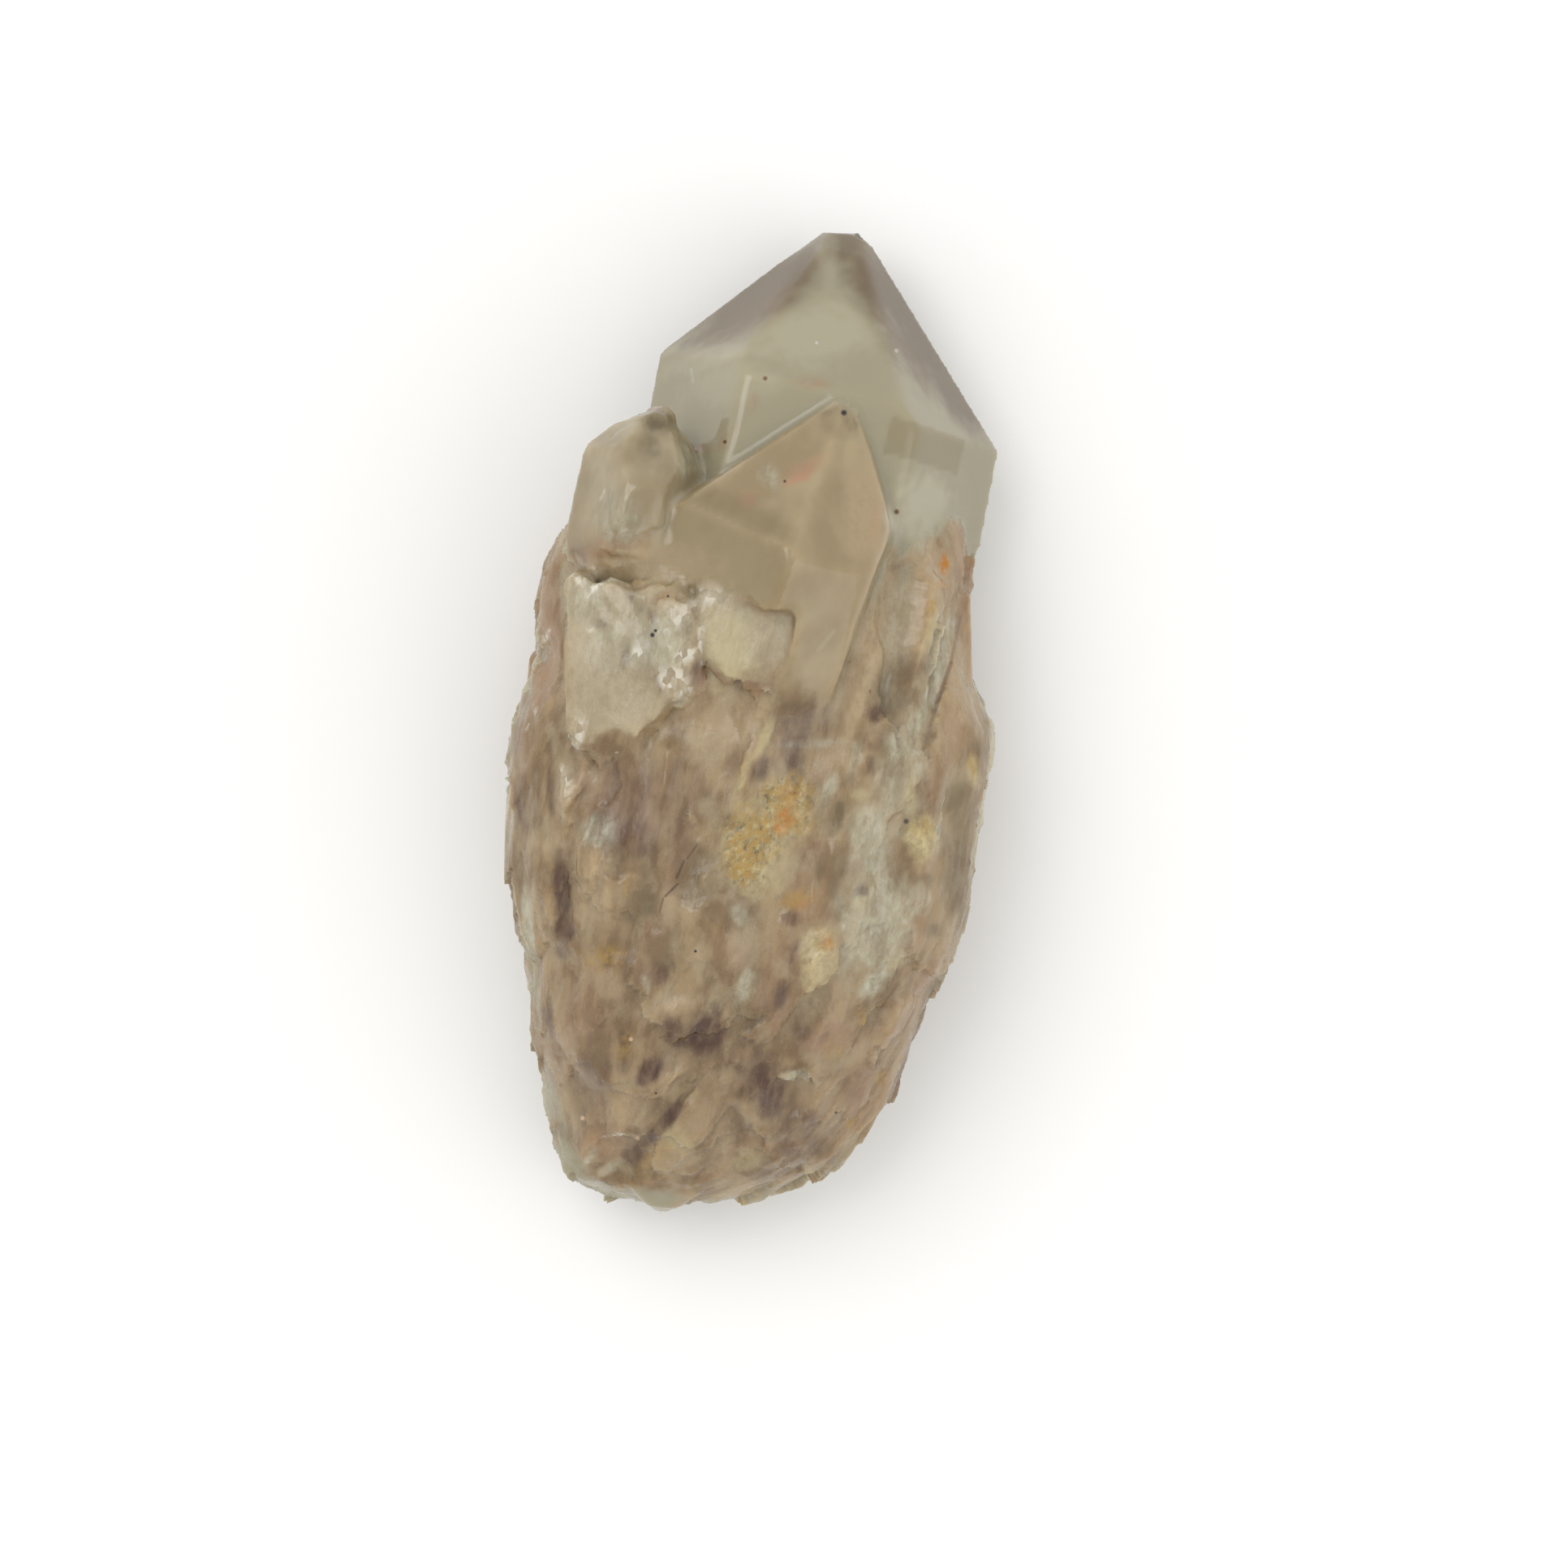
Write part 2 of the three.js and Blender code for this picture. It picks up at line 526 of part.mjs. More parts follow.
const cluster = new THREE.Mesh(
  centredGeometry(clusterSolid()),
  new THREE.MeshStandardMaterial({
    color: STONE_COLOUR,
    roughness: STONE_ROUGHNESS,
    metalness: 0,
    flatShading: true,
  }),
);
cluster.name = "citrine_cluster";

const specimen = new THREE.Group();
specimen.add(cluster);

export default specimen;
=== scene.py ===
"""The looks of the citrine cluster: milky and clear quartz, seen straight from above as it lies on its back."""

import itertools
import math

import bmesh
import bpy
import numpy as np
from mathutils import Matrix, Vector, noise
from mathutils.bvhtree import BVHTree


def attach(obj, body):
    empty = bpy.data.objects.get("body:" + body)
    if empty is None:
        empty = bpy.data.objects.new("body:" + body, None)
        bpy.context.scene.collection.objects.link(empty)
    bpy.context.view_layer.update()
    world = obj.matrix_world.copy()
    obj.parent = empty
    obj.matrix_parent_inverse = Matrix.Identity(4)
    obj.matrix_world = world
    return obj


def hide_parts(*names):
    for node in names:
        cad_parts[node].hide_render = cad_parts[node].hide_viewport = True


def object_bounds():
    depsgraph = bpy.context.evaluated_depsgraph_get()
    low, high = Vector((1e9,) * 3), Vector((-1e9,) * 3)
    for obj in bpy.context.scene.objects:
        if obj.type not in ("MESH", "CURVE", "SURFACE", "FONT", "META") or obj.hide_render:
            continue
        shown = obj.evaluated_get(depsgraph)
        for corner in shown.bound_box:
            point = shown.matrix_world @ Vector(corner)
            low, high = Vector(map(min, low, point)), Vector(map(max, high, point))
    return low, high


MM = 0.001

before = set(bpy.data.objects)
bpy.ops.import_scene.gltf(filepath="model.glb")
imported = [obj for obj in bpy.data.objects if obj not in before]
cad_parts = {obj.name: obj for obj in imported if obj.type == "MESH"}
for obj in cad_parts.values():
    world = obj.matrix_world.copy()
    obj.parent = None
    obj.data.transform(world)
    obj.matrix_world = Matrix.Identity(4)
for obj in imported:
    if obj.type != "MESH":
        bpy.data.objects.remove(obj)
CAD_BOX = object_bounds()
STONE_NODE = "citrine_cluster"

# Places on the front were measured in millimetres from a spot that lies this far from the stone's own origin.
MARKS_ORIGIN = (-0.01, 0.18)
# The photograph's frame: how wide it is, where its middle lies, and how high its plane of measurement is.
VIEW_WIDTH = 154.56
VIEW_MIDDLE = (3.12, -6.2)
VIEW_HEIGHT = 13.0
LENS = 135.0
SENSOR = 36.0

# The skin of the stone is remeshed in cells of this size. Flat areas of the solid over the smaller size, in
# square millimetres, count partly as crystal faces, and those over the larger size fully.
SKIN_CELL = 0.41
FACE_AREAS = (2.5, 9.0)
LARGE_FACE_AREAS = (30.0, 70.0)
SAME_PLANE = math.radians(0.6)
# The growth direction leans from +Y to +X by this slope, and bends further over below the bend.
GROWTH_SLOPE = 0.19
BEND_START = -20.0
BEND_RATE = 0.03

# The three large points: where the tip would be if it were sharp, how far the six prism sides are from the
# axis and how much higher than the tip their end faces meet it, both from the front side round by the left,
# and how the axis leans to the right, is pitched so that its tip lifts, and spins.
SIDE_AZIMUTHS = (90, 150, 210, 270, 330, 30)
TIP_FACE_ANGLE = 51.8
LARGE_POINT = {
    "tip": (9.4, 50.9, 9.4),
    "reaches": (15.0, 13.6, 13.4, 13.4, 16.7, 16.7),
    "rises": (0.0, -0.4, -0.2, 1.6, 0.3, 0.3),
    "lean": 10.8,
    "pitch": 0.0,
    "spin": 0.0,
}
SECOND_POINT = {
    "tip": (9.3, 31.6, 24.6),
    "reaches": (11.2, 13.5, 9.0, 8.0, 8.6, 12.0),
    "rises": (0.0, 0.0, 0.8, 0.0, 0.6, 0.3),
    "lean": 20.0,
    "pitch": 12.0,
    "spin": -30.0,
}
THIRD_POINT = {
    "tip": (-9.0, 31.4, 21.0),
    "reaches": (8.0, 5.6, 5.1, 6.0, 5.3, 5.6),
    "rises": (1.2, 0.8, 0.9, 0.0, 0.4, 0.8),
    "lean": 12.5,
    "pitch": 1.0,
    "spin": 6.0,
}
# The milky inside of the large point: how deep it lies under each end face and each side, and how long it is.
PHANTOM_TIP_DEPTHS = (3.0, 5.4, 5.2, 4.6, 5.4, 5.2)
PHANTOM_SIDE_DEPTHS = (2.2, 2.2, 2.2, 1.6, 2.4, 2.4)
PHANTOM_LENGTH = 52.0
PHANTOM_FLOOR = 1.2
PHANTOM_CELL = 0.7
PHANTOM_ROUNDING = 40
# How many rounds draw the low places beside the plates up to them.
DRAWING_ROUNDS = 160

# Flats that are really broken and glassy, each named by a spot that lies on it as seen from above.
PLATE_SPOTS = [(-14.0, 6.0), (-12.0, 1.0), (-1.0, 8.0), (-7.6, 7.0)]
# Flats that are really rough matrix.
ROUGH_SPOTS = [(-6.0, -0.5), (0.5, 0.0), (-2.0, -4.0)]

# Patches on the front, in soft ellipses: middle, half width and half length in millimetres, lean in degrees
# from +Y towards +X, and strength. First the dark ones, from clear smoky quartz that lets light go down.
SMOKE = [
    ((-10.6, -9.5), (5.4, 6.5), 8, 0.40),
    ((-12.6, -6.3), (3.0, 1.8), 60, 0.45),
    ((-10.9, -11.5), (2.4, 2.8), 4, 0.60),
    ((-19.5, -6.5), (0.5, 4.0), -2, 0.55),
    ((-22.9, -8.0), (0.4, 2.4), -12, 0.50),
    ((-18.3, -16.6), (1.0, 3.8), -4, 0.80),
    ((-18.0, -20.2), (1.1, 1.9), -4, 0.80),
    ((-18.5, -22.6), (1.0, 1.0), 0, 0.65),
    ((-19.7, -28.8), (0.4, 2.6), -4, 0.60),
    ((-12.0, -30.3), (1.0, 2.0), 20, 0.75),
    ((-12.6, -33.4), (0.7, 1.4), 0, 0.60),
    ((-10.0, -34.3), (1.2, 2.0), 35, 0.90),
    ((-8.6, -39.2), (0.9, 4.8), 42, 0.85),
    ((-11.4, -42.0), (1.3, 1.7), 40, 0.65),
    ((-7.6, -30.2), (2.4, 1.6), 45, 0.65),
    ((-4.4, -30.4), (0.9, 1.5), 15, 0.85),
    ((-3.4, -28.0), (1.2, 0.6), 70, 0.65),
    ((-9.0, -24.5), (1.5, 1.2), 70, 0.60),
    ((-4.4, -30.4), (2.6, 2.4), 20, 0.80),
    ((-15.6, -35.6), (2.6, 4.4), 10, 0.45),
    ((-21.6, -7.6), (1.4, 3.4), -8, 0.30),
    ((-2.0, -36.0), (17.0, 10.0), 0, 0.18),
    ((-14.0, -26.0), (6.0, 8.0), 0, 0.14),
    ((1.5, -35.6), (3.8, 2.8), 70, 0.80),
    ((4.1, -40.0), (2.8, 3.2), 20, 0.60),
    ((-0.6, -33.0), (3.0, 2.4), 30, 0.55),
    ((2.8, -26.6), (0.7, 1.6), 15, 0.65),
    ((5.0, -30.3), (1.0, 1.1), 0, 0.50),
    ((7.0, -31.0), (0.6, 0.7), 30, 0.50),
    ((4.0, -22.3), (0.35, 1.4), 15, 0.50),
    ((3.8, -19.2), (1.0, 0.9), 0, 0.55),
    ((5.4, -0.3), (3.6, 2.4), 10, 0.40),
    ((3.9, -3.5), (4.0, 1.0), 82, 0.60),
    ((0.8, -4.7), (1.1, 1.4), 20, 0.70),
    ((-1.9, -4.3), (0.8, 1.8), 22, 0.45),
    ((-2.0, -10.0), (1.0, 1.0), 0, 0.50),
    ((12.1, 0.5), (1.0, 1.0), 30, 0.70),
    ((11.7, -2.6), (0.8, 0.6), 0, 0.45),
    ((11.5, -4.4), (1.2, 0.5), 80, 0.70),
    ((10.6, -16.5), (0.7, 0.6), 0, 0.80),
    ((-4.9, 4.8), (1.0, 1.6), 10, 0.40),
    ((-12.1, 5.8), (0.6, 1.2), 20, 0.40),
    ((-14.5, 9.1), (0.7, 0.5), 0, 0.40),
    ((-9.5, 10.0), (0.8, 0.6), 60, 0.35),
]
GREY = [
    ((13.6, 2.9), (2.0, 3.4), 10, 0.75),
    ((13.2, -2.4), (1.6, 2.6), 12, 0.45),
    ((8.2, -9.4), (0.9, 2.2), 10, 0.70),
    ((8.1, -14.1), (1.6, 3.4), 20, 0.70),
    ((8.5, -18.7), (0.8, 1.0), 20, 0.60),
    ((16.4, -15.6), (1.2, 1.0), 0, 0.50),
    ((19.9, -14.0), (1.7, 4.5), 5, 0.50),
    ((20.5, -8.6), (1.7, 3.2), 5, 0.55),
    ((22.8, -2.0), (1.0, 3.6), 0, 0.45),
    ((17.6, -20.4), (1.2, 0.9), 0, 0.50),
    ((-5.2, -15.2), (2.4, 3.2), 20, 0.55),
    ((-10.7, -17.7), (2.0, 2.0), 0, 0.55),
    ((-8.3, -22.4), (2.2, 1.8), 0, 0.40),
    ((-15.3, -32.6), (2.0, 2.4), 10, 0.45),
    ((-0.6, -29.0), (1.6, 3.0), 25, 0.50),
    ((-11.4, 11.9), (2.0, 0.8), 60, 0.45),
    ((-6.0, 8.8), (1.0, 1.0), 0, 0.35),
    ((-9.9, 26.5), (1.4, 1.8), 10, 0.40),
    ((-8.9, 29.2), (1.8, 1.8), 20, 0.70),
    ((8.8, 29.6), (2.2, 2.4), 0, 0.50),
    ((1.2, -45.6), (2.6, 1.0), 75, 0.45),
    ((6.4, -41.4), (2.2, 1.2), 40, 0.40),
]
LIGHT = [
    ((-9.2, -5.5), (1.0, 5.6), 0, 0.45),
    ((-8.1, -11.5), (0.9, 4.8), 5, 0.55),
    ((-4.9, -1.2), (1.8, 2.8), 15, 0.50),
    ((-14.8, -13.9), (2.3, 2.0), 0, 0.80),
    ((-15.1, -17.4), (1.9, 3.0), -4, 0.60),
    ((-7.6, -18.4), (0.9, 2.0), -10, 0.50),
    ((-13.8, -25.6), (1.5, 1.7), 0, 0.60),
    ((-7.4, -27.8), (0.9, 3.4), 66, 0.65),
    ((-12.4, -37.7), (1.6, 2.8), 18, 0.60),
    ((-8.1, -35.4), (2.2, 1.3), 60, 0.55),
    ((9.9, 0.5), (0.7, 4.8), 17, 0.70),
    ((9.6, 12.0), (3.0, 4.0), 10, 0.40),
    ((10.6, 20.5), (2.6, 6.0), 5, 0.90),
    ((16.4, 12.0), (3.4, 6.0), 6, 0.80),
    ((12.2, 9.0), (3.0, 8.0), 12, 0.75),
    ((-1.6, 25.0), (1.1, 6.0), 53, 0.50),
    ((-9.6, 15.0), (2.4, 7.0), 96, 0.80),
    ((-1.0, 0.6), (2.6, 3.4), 15, 0.50),
    ((20.4, 3.9), (1.8, 5.6), 4, 0.50),
    ((18.9, -22.6), (1.6, 3.2), 15, 0.50),
    ((10.6, -32.6), (1.2, 3.0), 60, 0.45),
    ((7.6, -37.4), (2.4, 1.8), 60, 0.45),
    ((-2.7, -44.4), (3.2, 1.8), 80, 0.45),
    ((0.1, -22.0), (2.4, 3.4), 30, 0.40),
    ((-14.0, 17.6), (4.4, 3.0), 60, 0.45),
]
MILK = [
    ((11.4, -11.5), (2.4, 3.8), 10, 0.85),
    ((11.8, -20.0), (4.2, 6.0), 12, 0.70),
    ((15.8, -17.6), (1.8, 1.8), 0, 0.70),
    ((14.5, -4.5), (2.4, 5.6), 14, 0.65),
    ((7.3, -6.9), (0.9, 2.6), 20, 0.70),
    ((9.9, -3.9), (0.7, 2.4), 15, 0.60),
    ((18.5, 5.8), (0.8, 4.8), 15, 0.85),
    ((16.0, -0.4), (1.0, 3.4), 20, 0.75),
    ((12.0, -25.4), (1.1, 2.0), 55, 0.90),
    ((-0.4, -25.6), (1.4, 1.8), 5, 0.80),
    ((-1.0, -18.8), (1.4, 1.0), 60, 0.60),
    ((5.9, -2.3), (0.5, 3.4), 86, 0.60),
    ((-21.7, -20.0), (0.6, 4.8), -7, 0.85),
    ((-14.8, -11.0), (2.0, 1.8), 0, 0.90),
    ((-10.2, -25.4), (0.4, 1.1), -20, 0.80),
    ((-16.2, 11.6), (2.2, 3.4), 10, 0.60),
    ((-13.4, 7.6), (3.2, 3.0), 40, 0.50),
    ((-8.8, 7.6), (2.6, 3.6), 30, 0.70),
    ((-2.2, 7.6), (3.0, 3.8), 10, 0.60),
    ((-18.4, -43.0), (0.8, 2.6), -25, 0.70),
    ((-15.4, -46.0), (0.7, 2.6), -62, 0.70),
    ((-10.2, -46.9), (1.2, 3.2), 90, 0.30),
    ((-15.8, -42.7), (0.4, 1.2), 40, 0.70),
    ((-14.1, -43.9), (0.6, 1.6), 60, 0.45),
    ((-6.2, 25.4), (1.1, 2.4), 15, 0.80),
    ((-12.6, 19.2), (2.6, 3.0), 0, 0.75),
    ((15.6, 19.6), (3.4, 3.0), 60, 0.70),
    ((14.2, 9.6), (1.6, 6.0), 8, 0.40),
    ((1.7, 23.4), (1.6, 1.0), 60, 0.55),
]
CREAM = [
    ((16.6, -11.6), (1.9, 2.5), 3, 0.90),
    ((15.4, -7.6), (0.8, 2.4), 5, 0.60),
    ((6.4, -23.2), (2.0, 3.4), 15, 0.70),
    ((21.6, -5.2), (0.7, 1.6), -10, 0.70),
    ((17.3, 8.4), (0.7, 2.4), 22, 0.60),
    ((16.5, 3.6), (0.6, 1.0), 20, 0.35),
    ((1.1, -2.0), (0.5, 3.0), 26, 0.75),
    ((-0.7, -5.2), (0.5, 2.6), 22, 0.70),
    ((1.4, -11.4), (4.0, 5.0), 10, 0.55),
    ((0.8, -15.2), (3.6, 2.4), 50, 0.50),
    ((10.4, -7.2), (1.0, 0.7), 0, 0.50),
    ((10.5, -17.7), (0.7, 0.7), 0, 0.40),
    ((14.2, -23.5), (1.1, 0.8), 0, 0.50),
    ((-3.7, -27.2), (0.6, 0.3), 60, 0.60),
    ((-6.2, -36.7), (0.4, 1.2), 50, 0.60),
    ((-7.6, -40.8), (2.4, 1.5), 55, 0.60),
    ((-0.2, -42.9), (1.5, 1.8), 60, 0.45),
    ((5.4, -44.0), (1.2, 0.5), 60, 0.40),
    ((-2.4, 7.2), (3.2, 4.2), 10, 0.60),
    ((-1.0, 7.4), (0.5, 1.4), 0, 0.60),
    ((9.6, 25.8), (0.7, 1.4), 5, 0.35),
]
OCHRE = [
    ((3.2, -8.0), (2.6, 3.0), 10, 0.60),
    ((0.2, -11.4), (2.6, 3.4), 20, 0.70),
    ((-0.8, -13.6), (2.0, 2.0), 40, 0.80),
    ((4.4, -17.2), (0.9, 2.4), 75, 0.60),
    ((6.8, -21.2), (1.2, 1.2), 0, 0.40),
    ((21.6, -4.6), (0.6, 1.4), -10, 0.50),
    ((16.6, -10.4), (1.3, 1.0), 0, 0.40),
    ((-14.0, -22.8), (1.4, 2.2), 70, 0.45),
    ((17.5, 10.9), (0.5, 0.8), 10, 0.50),
    ((-11.9, -16.0), (0.5, 1.8), 10, 0.40),
    ((-12.8, -45.8), (0.8, 1.8), 82, 0.60),
    ((7.9, -32.2), (1.3, 0.8), 60, 0.35),
    ((10.5, -28.9), (0.5, 0.9), 10, 0.40),
    ((9.7, -39.3), (0.4, 0.8), 20, 0.70),
    ((12.6, -35.0), (0.45, 0.8), 0, 0.45),
    ((-12.2, -31.2), (0.8, 2.0), 20, 0.40),
    ((-9.2, -42.6), (1.0, 2.4), 45, 0.35),
]
RUST = [
    ((3.3, -7.4), (1.1, 1.0), 10, 0.35),
    ((3.0, -9.8), (0.9, 1.5), 5, 0.85),
    ((4.8, -17.7), (0.6, 1.5), 80, 0.35),
    ((18.7, 15.2), (0.55, 1.3), 5, 0.95),
    ((18.5, 13.2), (0.5, 0.6), 0, 0.80),
    ((7.4, -21.4), (0.7, 1.1), 10, 0.45),
]
ROSE = [
    ((-1.4, 28.4), (1.8, 3.0), 15, 0.40),
    ((4.8, 23.9), (0.8, 1.8), 75, 0.65),
    ((-0.2, 21.1), (0.8, 0.8), 0, 0.60),
    ((-14.3, 16.4), (1.4, 2.8), 80, 0.70),
    ((-20.2, 7.0), (1.6, 8.5), 0, 0.55),
    ((12.6, 19.4), (0.4, 2.4), 4, 0.50),
    ((14.2, 13.0), (1.4, 4.5), 6, 0.35),
    ((19.9, -1.2), (1.1, 2.6), 4, 0.60),
    ((17.2, -24.9), (1.0, 3.4), 28, 0.60),
    ((7.2, -30.8), (1.8, 3.4), 75, 0.55),
    ((10.3, -36.9), (1.1, 3.2), 18, 0.60),
    ((-4.9, 4.6), (1.0, 1.7), 10, 0.60),
    ((-12.4, -8.0), (5.0, 5.0), 0, 0.40),
    ((-13.9, -41.6), (1.7, 1.6), 20, 0.50),
    ((-16.0, -29.0), (3.4, 6.0), 5, 0.35),
    ((-2.0, -22.6), (3.0, 1.6), 50, 0.35),
]
# White chips and flaws: partly their own white, partly painted glints where their small facets catch the light.
WHITE_CHIPS_AND_GLINTS = [
    ((-7.4, 9.9), (1.3, 2.8), 62, 0.75),
    ((-10.6, 6.4), (0.9, 1.9), 10, 0.75),
    ((-6.4, 6.2), (0.8, 1.2), 60, 1.00),
    ((-7.5, 3.6), (2.2, 1.5), 40, 0.80),
    ((-4.9, 7.2), (0.3, 2.8), 2, 0.90),
    ((-4.2, 11.9), (0.8, 2.8), 98, 0.55),
    ((-16.7, 13.6), (1.0, 0.7), 30, 0.60),
    ((-15.4, 12.5), (0.3, 1.4), 60, 0.80),
    ((-15.6, 8.9), (0.4, 0.6), 0, 0.80),
    ((-20.4, 7.8), (0.3, 1.4), 35, 0.95),
    ((-21.1, 0.7), (0.3, 1.0), -10, 0.80),
    ((-22.2, -0.5), (0.4, 0.4), 0, 0.80),
    ((-16.5, -1.4), (0.5, 1.4), 12, 0.75),
    ((-12.8, -3.4), (0.6, 0.4), 0, 0.80),
    ((-18.1, -6.0), (0.7, 1.7), -8, 0.70),
    ((-15.2, -5.8), (0.6, 0.4), 0, 0.55),
    ((-14.2, -8.2), (0.5, 0.4), 0, 0.60),
    ((8.9, -19.4), (0.4, 0.9), 10, 0.40),
    ((3.0, -18.9), (0.4, 0.8), 30, 0.40),
    ((4.6, -38.1), (0.3, 0.8), 80, 0.40),
    ((-13.4, -40.5), (0.25, 1.0), 82, 0.70),
    ((-14.3, 21.7), (0.25, 0.7), 30, 0.80),
]
# In the large point, pale veils, clear rims and one darker window.
VEILS = [
    ((7.4, 46.4), (1.2, 3.6), 4, 0.40),
    ((6.6, 37.6), (3.2, 7.0), 84, 0.60),
    ((-4.6, 35.4), (1.4, 4.8), 78, 0.50),
    ((16.8, 20.8), (3.0, 3.4), 10, 0.80),
    ((-2.0, 32.6), (2.2, 5.6), 84, 0.35),
]
RIMS = [
    ((0.6, 42.0), (3.6, 9.6), 51, 0.85),
    ((15.0, 40.0), (4.0, 11.0), -33, 0.85),
    ((20.2, 32.6), (2.4, 5.4), -33, 0.80),
    ((8.8, 48.0), (3.6, 3.4), 0, 0.75),
]
WINDOWS = [((16.8, 26.7), (1.8, 3.8), 103, 0.80)]
# Salmon wisps near the foot of the large point and inside the second one.
SALMON = [
    ((0.0, 30.3), (0.6, 1.2), 15, 0.45),
    ((-1.1, 28.7), (0.6, 1.6), 30, 0.45),
    ((-2.7, 26.9), (0.7, 1.0), 10, 0.75),
    ((-5.1, 26.4), (1.2, 0.6), 0, 0.50),
    ((-0.5, 21.0), (1.0, 1.2), 20, 0.80),
    ((5.0, 23.9), (1.0, 2.4), 65, 0.80),
    ((11.7, 18.2), (0.5, 4.0), 10, 0.45),
    ((5.6, 32.6), (2.4, 0.7), 10, 0.40),
]
# The clearest parts of the second point, where its inside looks olive: the low part of one tip face, and two
# sides. Planes are counted as crystal_planes gives them, each side before its tip face.
OLIVE = [
    ((-0.6, 19.4), (1.9, 5.6), 112, 0.45),
    ((-5.0, 21.0), (1.8, 2.4), 40, 0.50),
    ((7.4, 17.4), (1.6, 3.2), 20, 0.40),
]
OLIVE_TIP_FACE = 1
OLIVE_SIDES = (0, 2)
OLIVE_SIDE_SHARE = 0.3
# The clear band that shows along the stone's lower edge.
PALE_RIM = [
    ((-19.2, -38.6), (0.8, 4.6), -12, 0.60),
    ((-18.0, -43.4), (1.2, 3.4), -28, 0.95),
    ((-15.2, -46.2), (1.2, 3.0), -62, 0.95),
    ((-10.4, -47.2), (1.5, 4.0), 92, 0.95),
    ((-5.0, -48.4), (1.4, 3.0), 80, 0.80),
    ((2.0, -46.6), (1.0, 3.6), 72, 0.55),
    ((9.0, -43.4), (0.9, 4.2), 58, 0.45),
    ((-21.6, -24.0), (0.6, 5.0), -10, 0.60),
]
# Crumbly, iron-stained quartz.
CRUMBLY = [
    ((3.0, -8.6), (2.6, 3.4), 10, 1.0),
    ((0.0, -12.4), (3.0, 4.0), 25, 1.0),
    ((6.4, -22.6), (2.0, 3.0), 15, 0.4),
    ((16.6, -11.2), (1.8, 2.4), 5, 0.4),
]
# Broken quartz with sharp glassy shells.
SHELLS = [
    ((-13.0, 11.0), (5.6, 4.2), 60, 0.9),
    ((-7.2, 7.4), (3.2, 5.4), 10, 1.0),
    ((-3.6, 11.6), (1.0, 3.0), 100, 0.7),
    ((-16.8, 12.4), (2.2, 2.6), 0, 1.0),
    ((-20.6, 7.6), (1.1, 2.0), 20, 0.7),
    ((-16.8, -1.2), (0.9, 1.8), 0, 0.8),
    ((-17.9, -6.0), (1.2, 2.2), 0, 0.8),
]
# Where the stone is smoother than elsewhere, and where its deep cracks are partly healed.
SMOOTH = [
    ((5.0, 0.0), (5.0, 10.0), 13, 0.9),
    ((-9.5, -6.0), (4.6, 7.0), 8, 0.5),
    ((-20.0, 0.0), (2.6, 14.0), 0, 0.5),
    ((20.0, -2.0), (3.0, 12.0), 0, 0.5),
    ((-14.0, 17.0), (6.0, 4.0), 60, 0.7),
    ((15.0, 10.0), (3.6, 8.0), 12, 0.6),
]
HEALED = [
    ((-6.4, -15.0), (1.6, 5.6), 32, 0.85),
    ((-7.8, -37.3), (2.0, 5.6), 44, 0.6),
    ((-4.6, 2.0), (3.0, 4.0), 40, 0.6),
    ((-18.2, -18.5), (1.8, 6.0), -2, 0.5),
    ((-0.5, -9.0), (2.0, 2.0), 0, 0.6),
    ((-17.6, 10.0), (1.8, 2.4), 0, 0.8),
    ((4.8, -17.4), (2.0, 2.4), 0, 0.7),
    ((2.8, -37.0), (3.6, 3.4), 20, 0.9),
    ((8.6, 49.8), (3.0, 1.3), 0, 0.9),
    ((5.4, 17.0), (1.7, 9.5), 12, 0.85),
    ((4.2, 0.0), (5.6, 3.8), 10, 0.95),
    ((16.6, 18.0), (4.8, 3.8), 0, 1.0),
    ((11.4, 11.0), (1.7, 7.0), 12, 0.8),
    ((-10.4, 21.0), (4.6, 7.0), 12, 0.55),
    ((-2.2, 30.6), (1.4, 7.4), 10, 0.65),
    ((2.9, 42.8), (1.4, 8.6), 32, 0.65),
    ((6.4, 33.6), (1.3, 9.0), 112, 0.65),
    ((12.8, 38.0), (1.4, 9.6), -15, 0.65),
    ((15.2, 24.2), (1.4, 6.4), 3, 0.65),
]
# Where low places between the crystals are filled up to their surroundings.
FILLED = [
    ((-10.6, 15.2), (3.8, 8.0), 96, 1.0),
    ((-2.6, 12.2), (2.4, 4.4), 98, 1.0),
    ((3.6, 1.6), (4.4, 5.0), 10, 0.8),
]
# Dark and white specks: place, radius and colour as seen.
SPECKS = [
    ((8.9, 29.6), 0.34, (22, 20, 24)),
    ((-9.5, 8.1), 0.26, (20, 18, 16)),
    ((-9.2, 8.5), 0.20, (20, 18, 16)),
    ((-8.0, 11.8), 0.14, (40, 36, 30)),
    ((14.0, 20.1), 0.30, (122, 92, 64)),
    ((-2.6, 26.9), 0.22, (132, 98, 84)),
    ((1.3, 33.0), 0.26, (142, 116, 98)),
    ((3.2, 22.8), 0.18, (112, 84, 66)),
    ((-5.4, -22.3), 0.16, (30, 24, 20)),
    ((8.2, -38.3), 0.16, (40, 32, 26)),
    ((-9.3, -36.2), 0.14, (50, 40, 30)),
    ((14.9, -9.8), 0.30, (84, 78, 66)),
    ((-11.7, -30.9), 0.24, (206, 178, 152)),
    ((-16.6, -38.9), 0.26, (206, 178, 148)),
    ((-11.2, -40.8), 0.28, (206, 180, 150)),
    # These two white specks are painted glints: reflections off small cracks inside the large point.
    ((6.3, 36.7), 0.20, (222, 216, 204)),
    ((14.1, 36.1), 0.26, (222, 214, 200)),
]
